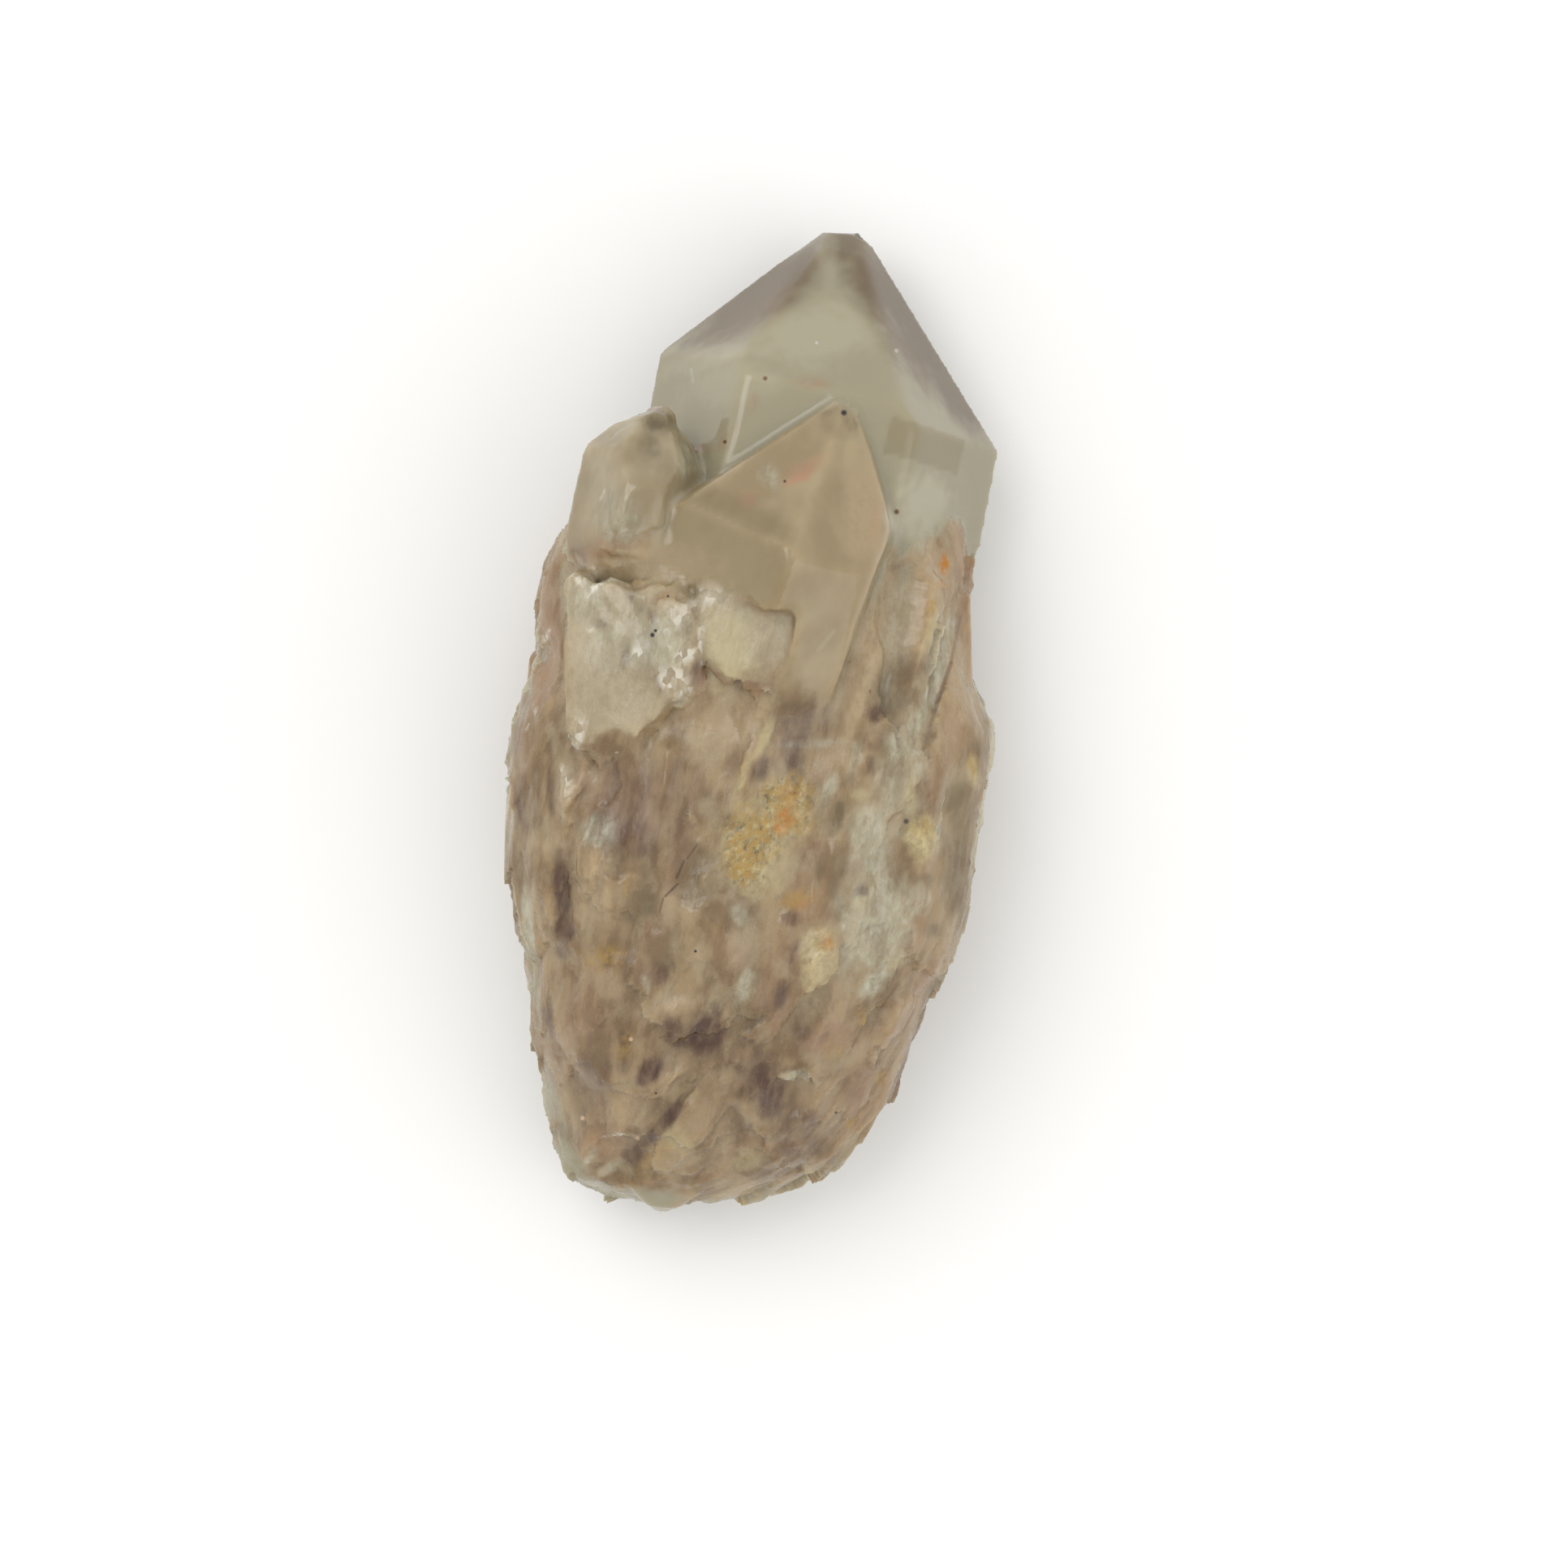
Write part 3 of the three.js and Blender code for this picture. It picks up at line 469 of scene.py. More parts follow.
# Thin lines: from, to, half width, colour as seen and strength.
LINES = [
    # The first line is a painted glint: a reflection off a small crack inside the large point.
    ((-6.0, 34.5), (-5.8, 33.2), 0.14, (206, 202, 188), 0.8),
    ((7.9, 8.4), (6.4, 6.6), 0.20, (184, 172, 142), 0.6),
    ((20.4, 10.2), (19.4, 5.6), 0.16, (138, 116, 96), 0.6),
    ((19.4, 5.6), (18.0, 1.7), 0.20, (128, 106, 86), 0.7),
    ((18.0, 1.7), (16.6, -2.8), 0.18, (138, 120, 100), 0.5),
    ((-5.2, -12.0), (-6.2, -13.4), 0.10, (82, 68, 50), 0.5),
    ((-6.5, -13.6), (-7.2, -15.2), 0.13, (82, 68, 50), 0.6),
    ((-7.1, -15.8), (-8.3, -17.0), 0.11, (78, 64, 48), 0.6),
    ((-8.5, -17.2), (-8.9, -18.6), 0.09, (82, 68, 50), 0.5),
]

# How bright a white card looks beside the stone, and how much of that its gloss adds to any colour.
LIGHT_LEVEL = 1.15
GLOSS_SHARE = 0.04

QUARTZ_IOR = 1.544
CLEAR_ABSORPTION = (0.80, 0.70, 0.54)
ABSORPTION_DENSITY = 100.0


def linear(level):
    level /= 255.0
    return level / 12.92 if level < 0.04045 else ((level + 0.055) / 1.055) ** 2.4


def seen(red, green, blue):
    """The albedo of a surface that looks like this colour, with values from 0 to 255, in the studio's light."""
    return tuple(max(0.004, (linear(level) - GLOSS_SHARE) / LIGHT_LEVEL) for level in (red, green, blue))


TAN_LIGHT = seen(172, 150, 118)
TAN_DARK = seen(134, 113, 86)
WISP_COLOUR = seen(182, 168, 140)
LIGHT_TAN = seen(188, 168, 136)
MILK_LIGHT = seen(198, 195, 174)
MILK_SHADE = seen(164, 156, 132)
GREY_COLOUR = seen(110, 98, 76)
CREAM_COLOUR = seen(196, 182, 142)
OCHRE_COLOUR = seen(178, 146, 80)
RUST_COLOUR = seen(190, 130, 52)
ROSE_COLOUR = seen(166, 132, 108)
SALMON_COLOUR = seen(196, 154, 124)
SMOKE_COLOUR = seen(88, 66, 38)
SECOND_POINT_LIGHT = seen(184, 168, 136)
SECOND_POINT_DARK = seen(168, 150, 118)
OLIVE_COLOUR = seen(146, 129, 92)
THIRD_POINT_LIGHT = seen(192, 180, 152)
THIRD_POINT_DARK = seen(168, 153, 124)
PLATE_LIGHT = seen(190, 177, 150)
PLATE_DARK = seen(156, 140, 112)
# The painted shade of broken shards whose facets face away from the light.
SHELL_SHADE = seen(156, 145, 124)
# The white of chips, and of the painted glints on them.
CHIP_AND_GLINT_COLOUR = seen(222, 217, 203)
PALE_RIM_COLOUR = seen(166, 160, 136)
EDGE_COLOUR = seen(196, 182, 152)
CLEAR_COLOUR = (0.44, 0.40, 0.27)
RIM_COLOUR = (0.19, 0.115, 0.045)
VEIL_COLOUR = (0.46, 0.43, 0.31)
WINDOW_COLOUR = (0.35, 0.30, 0.18)
PHANTOM_LIGHT = (0.66, 0.62, 0.50)
PHANTOM_DARK = (0.52, 0.47, 0.35)


def smoothstep(low, high, value):
    share = np.clip((value - low) / (high - low), 0.0, 1.0)
    return share * share * (3.0 - 2.0 * share)


def as_array(mesh, what="co"):
    values = np.empty(len(mesh.vertices) * 3, np.float32)
    mesh.vertices.foreach_get(what, values)
    return values.reshape(-1, 3).astype(float)


def set_places(mesh, points):
    mesh.vertices.foreach_set("co", (points * MM).ravel())
    mesh.update()


def noise_at(points, size, seed, stretch=(1.0, 1.0, 1.0)):
    """Smooth noise from -1 to 1 whose bumps are about as large as size, times the stretch along each axis."""
    scaled = points / (size * np.array(stretch)) + 17.3 * seed
    return np.array([noise.noise(Vector(p)) for p in scaled]) * 1.6


def facets_at(points, size, seed, stretch=(1.0, 1.0, 1.0)):
    """Small flat facets from about -1 to 1, each tilted its own way, like the ends of many thin crystals."""
    scaled = points / (size * np.array(stretch)) + 9.7 * seed
    heights = np.empty(len(points))
    for i, place in enumerate(scaled):
        place = Vector(place)
        middle = noise.voronoi(place)[1][0]
        tilt = noise.cell_vector(middle * 37.0) * 2.0 - Vector((1.0, 1.0, 1.0))
        heights[i] = tilt.dot(place - middle)
    return heights * 1.4


def grain_coordinates(points):
    """The points with the growth direction made straight, so that a stretch along Y follows the grain."""
    x, y, z = points.T
    below = np.maximum(0.0, BEND_START - y)
    return np.column_stack([x - GROWTH_SLOPE * y + 0.5 * BEND_RATE * below**2, y, z])


def crystal_planes(crystal, side_depths=(0.0,) * 6, tip_depths=(0.0,) * 6):
    """The planes that bound a point, as outward normals and distances from the origin, in millimetres."""
    turn = (
        Matrix.Rotation(-math.radians(crystal["lean"]), 3, "Z")
        @ Matrix.Rotation(math.radians(crystal["pitch"]), 3, "X")
        @ Matrix.Rotation(math.radians(crystal["spin"]), 3, "Y")
    )
    tip = Vector(crystal["tip"]) + Vector((*MARKS_ORIGIN, 0.0))
    steep = math.radians(TIP_FACE_ANGLE)
    planes = []
    sides = zip(SIDE_AZIMUTHS, crystal["reaches"], crystal["rises"], side_depths, tip_depths)
    for azimuth, reach, rise, side_depth, tip_depth in sides:
        outward = Vector((math.cos(math.radians(azimuth)), 0.0, math.sin(math.radians(azimuth))))
        upward = outward * math.sin(steep) + Vector((0.0, math.cos(steep), 0.0))
        for normal, distance in ((outward, reach - side_depth), (upward, rise * math.cos(steep) - tip_depth)):
            normal = turn @ normal
            planes.append((normal, distance + normal.dot(tip)))
    return planes


def on_crystal(points, crystal, slack=0.8):
    """Which points lie on the outside of a crystal point, on which of its planes, and how near to an edge."""
    gaps = np.array([points @ np.array(normal) - distance for normal, distance in crystal_planes(crystal)])
    furthest = gaps.max(axis=0)
    next_furthest = np.sort(gaps, axis=0)[-2]
    on_it = smoothstep(slack, 0.6 * slack, np.abs(furthest))
    return on_it, gaps.argmax(axis=0), smoothstep(-0.7, -0.1, next_furthest - furthest)


class SolidFaces:
    """The CAD solid's flat areas: for any point the nearest spot on them, and how large its flat is."""

    def __init__(self, node):
        solid = bmesh.new()
        solid.from_mesh(node.data)
        bmesh.ops.remove_doubles(solid, verts=solid.verts, dist=0.002 * MM)
        bmesh.ops.triangulate(solid, faces=solid.faces)
        solid.faces.ensure_lookup_table()
        solid.normal_update()
        self.tree = BVHTree.FromBMesh(solid)
        self.flat_of, self.area_of = self.gather_flats(solid)
        self.mesh = bpy.data.meshes.new("stone_skin")
        solid.to_mesh(self.mesh)
        solid.free()

    @staticmethod
    def gather_flats(solid):
        """Which flat each face belongs to, found by spreading over edges that don't bend, and each flat's area."""
        flat_of = np.full(len(solid.faces), -1)
        areas = []
        for first in solid.faces:
            if flat_of[first.index] >= 0:
                continue
            flat_of[first.index] = len(areas)
            area, waiting = 0.0, [first]
            while waiting:
                face = waiting.pop()
                area += face.calc_area()
                for edge in face.edges:
                    for other in edge.link_faces:
                        if flat_of[other.index] < 0 and other.normal.angle(first.normal, 1.0) < SAME_PLANE:
                            flat_of[other.index] = len(areas)
                            waiting.append(other)
            areas.append(area / MM**2)
        return flat_of, np.array(areas)

    def nearest(self, points):
        """The nearest spots in millimetres, and the flats that they lie on."""
        found = [self.tree.find_nearest(Vector(p) * MM) for p in points]
        spots = np.array([hit[0] for hit in found]) / MM
        return spots, self.flat_of[[hit[2] for hit in found]]

    def flat_under(self, spot):
        """The flat that is seen from above at a spot."""
        hit = self.tree.ray_cast(Vector((*spot, 100.0)) * MM, Vector((0.0, 0.0, -1.0)))
        return self.flat_of[hit[2]] if hit[2] is not None else -1

    def under_spots(self, flats, spots):
        wanted = [self.flat_under(spot) for spot in spots]
        return np.isin(flats, [flat for flat in wanted if flat >= 0]).astype(float)


def remeshed(mesh, name, cell):
    piece = bpy.data.objects.new(name, mesh)
    bpy.context.scene.collection.objects.link(piece)
    remesh = piece.modifiers.new("skin", "REMESH")
    remesh.mode = "VOXEL"
    remesh.voxel_size = cell * MM
    shown = piece.evaluated_get(bpy.context.evaluated_depsgraph_get())
    piece.data = bpy.data.meshes.new_from_object(shown)
    piece.modifiers.clear()
    piece.data.name = name
    return piece


def edges_of(mesh):
    edges = np.empty(len(mesh.edges) * 2, np.int32)
    mesh.edges.foreach_get("vertices", edges)
    return edges.reshape(-1, 2)


def spread(values, edges, rounds, share=0.5):
    """Evens out values over the mesh: each round moves every one towards the mean of its neighbours.

    Where the share is 0 they stay, so that what lies around them is drawn towards them.
    """
    values = np.array(values, float)
    count = np.bincount(edges.ravel(), minlength=len(values))
    count = count.reshape((-1,) + (1,) * (values.ndim - 1))
    for _ in range(rounds):
        total = np.zeros_like(values)
        np.add.at(total, edges[:, 0], values[edges[:, 1]])
        np.add.at(total, edges[:, 1], values[edges[:, 0]])
        values += share * (total / count - values)
    return values


def offsets_from(points, spot):
    """Across and along distances from an ellipse's middle, in its half widths and half lengths."""
    (x, y), (half_width, half_length), lean, _ = spot
    turn = math.radians(lean)
    right = points[:, 0] - MARKS_ORIGIN[0] - x
    up = points[:, 1] - MARKS_ORIGIN[1] - y
    across = right * math.cos(turn) - up * math.sin(turn)
    along = right * math.sin(turn) + up * math.cos(turn)
    return across / half_width, along / half_length


def patches(points, wobble, spots):
    """How strongly each point is inside any of the soft ellipses, from 0 to 1."""
    strongest = np.zeros(len(points))
    for spot in spots:
        distance = np.hypot(*offsets_from(points, spot))
        strongest = np.maximum(strongest, spot[-1] * smoothstep(1.25, 0.45, distance + wobble))
    return strongest


def panes(points, spots):
    """The same for patches that are nearly rectangles with crisp edges."""
    strongest = np.zeros(len(points))
    for spot in spots:
        distance = np.max(np.abs(offsets_from(points, spot)), axis=0)
        strongest = np.maximum(strongest, spot[-1] * smoothstep(1.06, 0.94, distance))
    return strongest


def grown_patches(points, size, seed, stretch):
    """The number of the long patch, grown along the grain, that each point belongs to."""
    waver = 0.5 * noise_at(points, 1.6, seed)
    grain = grain_coordinates(points + waver[:, None]) / (size * np.array(stretch)) + 5.3 * seed
    middles = np.array([noise.voronoi(Vector(place))[1][0] for place in grain])
    return np.unique(middles.round(3), axis=0, return_inverse=True)[1].ravel()


def tones(patch, edges, seed, softness):
    """A random number from 0 to 1 for each patch, with borders that are softened over the mesh."""
    levels = np.random.default_rng(seed).random(patch.max() + 1)
    return spread(levels[patch], edges, softness)


def crystal_facets(points, normals, patch):
    """Heights that make each patch of the surface one flat face, tilted half way towards a face of the crystal."""
    count = np.bincount(patch)[:, None]
    places = np.stack([np.bincount(patch, axis) for axis in points.T], axis=1) / count
    facing = np.stack([np.bincount(patch, axis) for axis in normals.T], axis=1) / count
    facing /= np.linalg.norm(facing, axis=1)[:, None]
    directions = np.array([normal for normal, _ in crystal_planes(LARGE_POINT)])
    match = facing @ directions.T
    pull = 0.5 * smoothstep(0.5, 0.8, match.max(axis=1))[:, None]
    facing += pull * (directions[match.argmax(axis=1)] - facing)
    facing /= np.linalg.norm(facing, axis=1)[:, None]
    facing = facing[patch]
    gaps = np.sum(facing * (places[patch] - points), axis=1)
    return np.clip(gaps / np.maximum(0.5, np.sum(facing * normals, axis=1)), -1.2, 1.2)


def rough_relief(points, normals, front, long_patch, short_patch):
    """Height of the rough quartz in millimetres: faces of thin crystals along the grain, small facets, grit.

    The faces are plainest on the sides and the back, where the solid has the least relief of its own.
    """
    faces = crystal_facets(points, normals, long_patch)
    small_faces = crystal_facets(points, normals, short_patch)
    facets = facets_at(grain_coordinates(points), 1.3, 1, (1.0, 1.8, 1.0))
    grit = noise_at(points, 0.8, 4)
    return (0.75 - 0.5 * front) * faces + (0.3 - 0.1 * front) * small_faces + 0.05 * facets + 0.02 * grit


def shell_relief(points):
    """Height of freshly broken glassy quartz in millimetres: curved shells that meet in sharp ridges."""
    turned = points @ np.array(Matrix.Rotation(math.radians(35), 3, "Z"))
    shells = np.array([noise.voronoi(Vector(p))[0][0] for p in turned / (1.5, 2.6, 2.0)])
    return 0.9 * (shells - 0.4) + 0.10 * noise_at(points, 0.9, 9)


def stone_skin(faces):
    """The stone as one remeshed piece: flat crystal faces stay flat, and the rest gets its fine relief."""
    piece = remeshed(faces.mesh, "citrine_stone", SKIN_CELL)
    mesh = piece.data
    edges = edges_of(mesh)
    spots, flats = faces.nearest(as_array(mesh) / MM)
    areas = faces.area_of[flats]
    plates = faces.under_spots(flats, PLATE_SPOTS)
    face = smoothstep(*FACE_AREAS, areas) * (1.0 - plates) * (1.0 - faces.under_spots(flats, ROUGH_SPOTS))
    face = spread(face, edges, 2)
    large_face = face * spread(smoothstep(*LARGE_FACE_AREAS, areas), edges, 2)
    plates = spread(plates, edges, 2)

    front = smoothstep(0.0, 0.35, spread(as_array(mesh, "normal"), edges, 6)[:, 2])
    evened = spread(spots, edges, 2)
    filled = patches(evened, 0.0, FILLED) * front
    held = np.maximum(face * (1.0 - filled), plates)
    drawn = spread(evened, edges, DRAWING_ROUNDS, 0.5 * (1.0 - held)[:, None])
    by_plates = 0.85 * np.clip(4.0 * spread(plates, edges, 40), 0.0, 1.0)
    evened += (drawn - evened) * (np.maximum(by_plates, filled) * (1.0 - held))[:, None]
    worn = spread(evened, edges, 14)
    evened += (worn - evened) * np.maximum((1.0 - held) * (0.3 + 0.6 * front), 0.75 * plates)[:, None]
    healed = spread(evened, edges, 40)
    evened += (healed - evened) * patches(evened, 0.0, HEALED)[:, None]
    set_places(mesh, evened)
    normals = spread(as_array(mesh, "normal"), edges, 6)
    normals /= np.linalg.norm(normals, axis=1)[:, None]

    wobble = 0.22 * noise_at(evened, 2.4, 11) + 0.14 * noise_at(evened, 0.9, 12)
    shells = patches(evened, wobble, SHELLS) * front * (1.0 - large_face)
    rough = (1.0 - 0.75 * face) * (1.0 - large_face) * (1.0 - 0.85 * plates) * (1.0 - shells)
    rough *= 1.0 - 0.75 * patches(evened, 0.0, SMOOTH) * front
    crumbs = patches(evened, wobble, CRUMBLY) * front
    long_patch = grown_patches(evened, 4.4, 5, (1.0, 4.4, 1.0))
    short_patch = grown_patches(evened, 2.1, 6, (1.0, 3.0, 1.0))
    height = rough * rough_relief(evened, normals, front, long_patch, short_patch)
    height += 0.45 * shells * shell_relief(evened)
    height += 0.22 * crumbs * noise_at(evened, 1.1, 14)
    height *= smoothstep(0.2, 0.6, evened[:, 2])
    moved = evened + normals * height[:, None]
    low, high = (np.array(corner) / MM for corner in CAD_BOX)
    set_places(mesh, np.clip(moved, low, high))
    mesh.shade_smooth()

    by_face = smoothstep(0.05, 0.4, spread(face, edges, 8))
    on_large, _, _ = on_crystal(evened, LARGE_POINT)
    on_large *= by_face * smoothstep(9.0, 13.0, evened[:, 1])
    on_large = np.maximum(on_large, smoothstep(43.0, 45.0, evened[:, 1]))
    on_second, second_plane, second_edges = on_crystal(evened, SECOND_POINT)
    on_second *= by_face * smoothstep(-1.0, 8.0, evened[:, 1])
    on_third, _, third_edges = on_crystal(evened, THIRD_POINT)
    on_third *= by_face * smoothstep(10.0, 14.0, evened[:, 1])
    olive = patches(evened, 0.4 * wobble, OLIVE) * (second_plane == OLIVE_TIP_FACE)
    olive = np.maximum(olive, OLIVE_SIDE_SHARE * np.isin(second_plane, OLIVE_SIDES))
    masks = {
        "edges": 0.3 * (on_second * second_edges + on_third * third_edges),
        "long_tone": tones(long_patch, edges, 51, 4),
        "long_tint": tones(long_patch, edges, 52, 4),
        "short_tone": tones(short_patch, edges, 53, 2),
        "short_tint": tones(short_patch, edges, 54, 2),
        "pale_rim": patches(evened, 0.5 * wobble, PALE_RIM),
        "smoke": patches(evened, 0.6 * wobble, SMOKE) * front,
        "milk": patches(evened, wobble, MILK) * front,
        "cream": patches(evened, wobble, CREAM) * front,
        "ochre": patches(evened, 1.4 * wobble, OCHRE) * front,
        "rust": patches(evened, 1.4 * wobble, RUST) * front,
        "rose": patches(evened, wobble, ROSE) * front,
        "salmon": patches(evened, 1.2 * wobble, SALMON) * front,
        "grey": patches(evened, wobble, GREY) * front,
        "light": patches(evened, wobble, LIGHT) * front,
        # White chips, with painted glints on them.
        "chips_and_glints": patches(evened, 0.6 * wobble, WHITE_CHIPS_AND_GLINTS) * front,
        "olive": olive * on_second,
        "veil": patches(evened, wobble, VEILS) * front,
        "rim": patches(evened, 0.4 * wobble, RIMS) * front,
        "crumbs": crumbs,
        "window": panes(evened, WINDOWS) * front,
        "front": front,
        "plates": plates,
        "shells": shells,
        "face": face,
        "on_large": spread(on_large, edges, 2),
        "on_second": spread(on_second, edges, 2),
        "on_third": spread(on_third, edges, 2),
    }
    hidden_colour(masks, evened, front)
    masks["clear"] = clearness(masks)
    for name, values in masks.items():
        layer = mesh.attributes.new(name, "FLOAT", "POINT")
        layer.data.foreach_set("value", values.astype(np.float32))
    return piece


def clearness(masks):
    """How clear the quartz is: the large point is, most of all at its rims, and the others are half milky."""
    behind = 1.0 - masks["front"]
    large = masks["on_large"] * (0.36 + 0.12 * masks["rim"] + 0.20 * behind - 0.20 * masks["veil"])
    second = masks["on_second"] * (0.12 + 0.20 * masks["olive"])
    return np.maximum(np.maximum(large, second), 0.16 * masks["on_third"])


def hidden_colour(masks, points, front):
    """Colours the sides and the back, which the photograph doesn't show, with the same tints as the front."""
    grain = grain_coordinates(points)
    y = points[:, 1]
    behind = 1.0 - front
    low = smoothstep(-8.0, -30.0, y)
    body = smoothstep(24.0, 12.0, y)
    cloud = noise_at(grain, 9.0, 21, (1.0, 1.8, 1.0))
    streak = noise_at(grain, 3.2, 22, (1.0, 5.0, 1.0))
    stain = noise_at(points, 5.5, 23)
    masks["smoke"] += behind * body * np.clip(0.12 * low + 0.4 * cloud, 0.0, 0.4)
    masks["milk"] += behind * body * np.clip(0.5 + 0.8 * streak - 0.4 * cloud, 0.0, 0.95)
    masks["rose"] += behind * body * np.clip(0.3 * noise_at(points, 7.0, 24), 0.0, 0.3)
    masks["ochre"] += behind * body * smoothstep(0.6, 1.0, stain) * 0.5
    tip = smoothstep(26.0, 40.0, y + 2.0 * cloud)
    masks["veil"] += behind * (1.0 - 0.7 * tip) * np.clip(0.5 + noise_at(grain, 8.0, 25, (1.0, 1.4, 1.0)), 0.0, 1.0)
    masks["rim"] += behind * 0.7 * tip


def milky_phantom():
    """The milky crystal inside the large point, a smaller point of the same habit with a wispy surface."""
    planes = crystal_planes(LARGE_POINT, PHANTOM_SIDE_DEPTHS, PHANTOM_TIP_DEPTHS)
    planes.append((Vector((0.0, 0.0, -1.0)), -PHANTOM_FLOOR))
    lean = math.radians(LARGE_POINT["lean"])
    downward = Vector((-math.sin(lean), -math.cos(lean), 0.0))
    tip = Vector(LARGE_POINT["tip"]) + Vector((*MARKS_ORIGIN, 0.0))
    planes.append((downward, downward.dot(tip) + PHANTOM_LENGTH))
    hull = bmesh.new()
    for three in itertools.combinations(planes, 3):
        normals = Matrix([normal for normal, _ in three])
        if abs(normals.determinant()) < 1e-4:
            continue
        corner = normals.inverted() @ Vector([distance for _, distance in three])
        if all(normal.dot(corner) <= distance + 1e-4 for normal, distance in planes):
            hull.verts.new(corner * MM)
    bmesh.ops.remove_doubles(hull, verts=hull.verts, dist=0.01 * MM)
    bmesh.ops.convex_hull(hull, input=hull.verts)
    mesh = bpy.data.meshes.new("phantom_hull")
    hull.to_mesh(mesh)
    hull.free()
    piece = remeshed(mesh, "milky_phantom", PHANTOM_CELL)
    points = spread(as_array(piece.data) / MM, edges_of(piece.data), PHANTOM_ROUNDING)
    set_places(piece.data, points)
    normals = as_array(piece.data, "normal")
    height = 0.5 * noise_at(points, 5.0, 31) + 0.16 * noise_at(points, 1.6, 32)
    set_places(piece.data, points + normals * height[:, None])
    piece.data.shade_smooth()
    return piece


def node(tree, kind, **settings):
    made = tree.nodes.new(kind)
    for name, value in settings.items():
        setattr(made, name, value)
    return made


def plug(tree, socket, value):
    if isinstance(value, bpy.types.NodeSocket):
        tree.links.new(value, socket)
    elif isinstance(value, tuple) and len(value) < len(socket.default_value):
        socket.default_value = (*value, 1.0)
    else:
        socket.default_value = value


def mask_output(tree, name):
    return node(tree, "ShaderNodeAttribute", attribute_name=name).outputs["Fac"]


def maths(tree, operation, a, b):
    made = node(tree, "ShaderNodeMath", operation=operation, use_clamp=True)
    plug(tree, made.inputs[0], a)
    plug(tree, made.inputs[1], b)
    return made.outputs[0]


def blended(tree, base, colour, share):
    mix = node(tree, "ShaderNodeMix", data_type="RGBA")
    plug(tree, mix.inputs["Factor"], share)
    plug(tree, mix.inputs["A"], base)
    plug(tree, mix.inputs["B"], colour)
    return mix.outputs["Result"]


def between(tree, low, high, share):
    """A number that goes from low to high as the share goes from 0 to 1."""
    mix = node(tree, "ShaderNodeMix", data_type="FLOAT")
    plug(tree, mix.inputs["Factor"], share)
    plug(tree, mix.inputs["A"], low)
    plug(tree, mix.inputs["B"], high)
    return mix.outputs["Result"]


def ramp(tree, value, low, high):
    made = node(tree, "ShaderNodeMapRange", interpolation_type="SMOOTHSTEP")
    plug(tree, made.inputs["Value"], value)
    plug(tree, made.inputs["From Min"], low)
    plug(tree, made.inputs["From Max"], high)
    return made.outputs["Result"]


def stretched(tree, scale, lean_degrees=11.0):
    """Object coordinates in millimetres, turned into the grain and scaled along each axis."""
    coordinates = node(tree, "ShaderNodeTexCoord")
    turn = node(tree, "ShaderNodeMapping", vector_type="POINT")
    turn.inputs["Rotation"].default_value[2] = math.radians(lean_degrees)
    turn.inputs["Scale"].default_value = (1.0 / MM,) * 3
    size = node(tree, "ShaderNodeMapping", vector_type="POINT")
    size.inputs["Scale"].default_value = scale
    tree.links.new(coordinates.outputs["Object"], turn.inputs["Vector"])
    tree.links.new(turn.outputs["Vector"], size.inputs["Vector"])
    return size.outputs["Vector"]


def noise_output(tree, scale, detail, roughness):
    made = node(tree, "ShaderNodeTexNoise")
    made.inputs["Scale"].default_value = 1.0
    made.inputs["Detail"].default_value = detail
    made.inputs["Roughness"].default_value = roughness
    tree.links.new(stretched(tree, scale), made.inputs["Vector"])
    return made.outputs["Fac"]


def seen_from_above(tree):
    """The place on the front in millimetres, without its height."""
    coordinates = node(tree, "ShaderNodeTexCoord")
    flattened = node(tree, "ShaderNodeVectorMath", operation="MULTIPLY_ADD")
    flattened.inputs[1].default_value = (1.0 / MM, 1.0 / MM, 0.0)
    flattened.inputs[2].default_value = (-MARKS_ORIGIN[0], -MARKS_ORIGIN[1], 0.0)
    tree.links.new(coordinates.outputs["Object"], flattened.inputs[0])
    return flattened.outputs[0]


def line_share(tree, place, start, end, half_width):
    """1 on a thin line between two spots on the front, and 0 off it."""
    along = Vector(end) - Vector(start)
    offset = node(tree, "ShaderNodeVectorMath", operation="SUBTRACT")
    plug(tree, offset.inputs[0], place)
    plug(tree, offset.inputs[1], (*start, 0.0))
    project = node(tree, "ShaderNodeVectorMath", operation="DOT_PRODUCT")
    plug(tree, project.inputs[0], offset.outputs[0])
    plug(tree, project.inputs[1], (*(along / along.length_squared), 0.0))
    share = maths(tree, "ADD", project.outputs["Value"], 0.0)
    nearest = node(tree, "ShaderNodeVectorMath", operation="SCALE")
    plug(tree, nearest.inputs[0], (*along, 0.0))
    plug(tree, nearest.inputs["Scale"], share)
    distance = node(tree, "ShaderNodeVectorMath", operation="DISTANCE")
    plug(tree, distance.inputs[0], offset.outputs[0])
    plug(tree, distance.inputs[1], nearest.outputs[0])
    return ramp(tree, distance.outputs["Value"], half_width * 1.5, half_width * 0.5)


def speck_share(tree, place, spot, radius):
    """1 on a round speck on the front, and 0 off it."""
    distance = node(tree, "ShaderNodeVectorMath", operation="DISTANCE")
    plug(tree, distance.inputs[0], place)
    plug(tree, distance.inputs[1], (*spot, 0.0))
    return ramp(tree, distance.outputs["Value"], 1.2 * radius, 0.4 * radius)


def with_fine_marks(tree, colour):
    """Adds the specks and thin lines, some of them painted glints, which are finer than the mesh, on the front alone.
    """
    place = seen_from_above(tree)
    marked = colour
    for start, end, half_width, line_colour, strength in LINES:
        share = maths(tree, "MULTIPLY", line_share(tree, place, start, end, half_width), strength)
        marked = blended(tree, marked, seen(*line_colour), share)
    for spot, radius, speck_colour in SPECKS:
        marked = blended(tree, marked, seen(*speck_colour), speck_share(tree, place, spot, radius))
    return blended(tree, colour, marked, mask_output(tree, "front"))


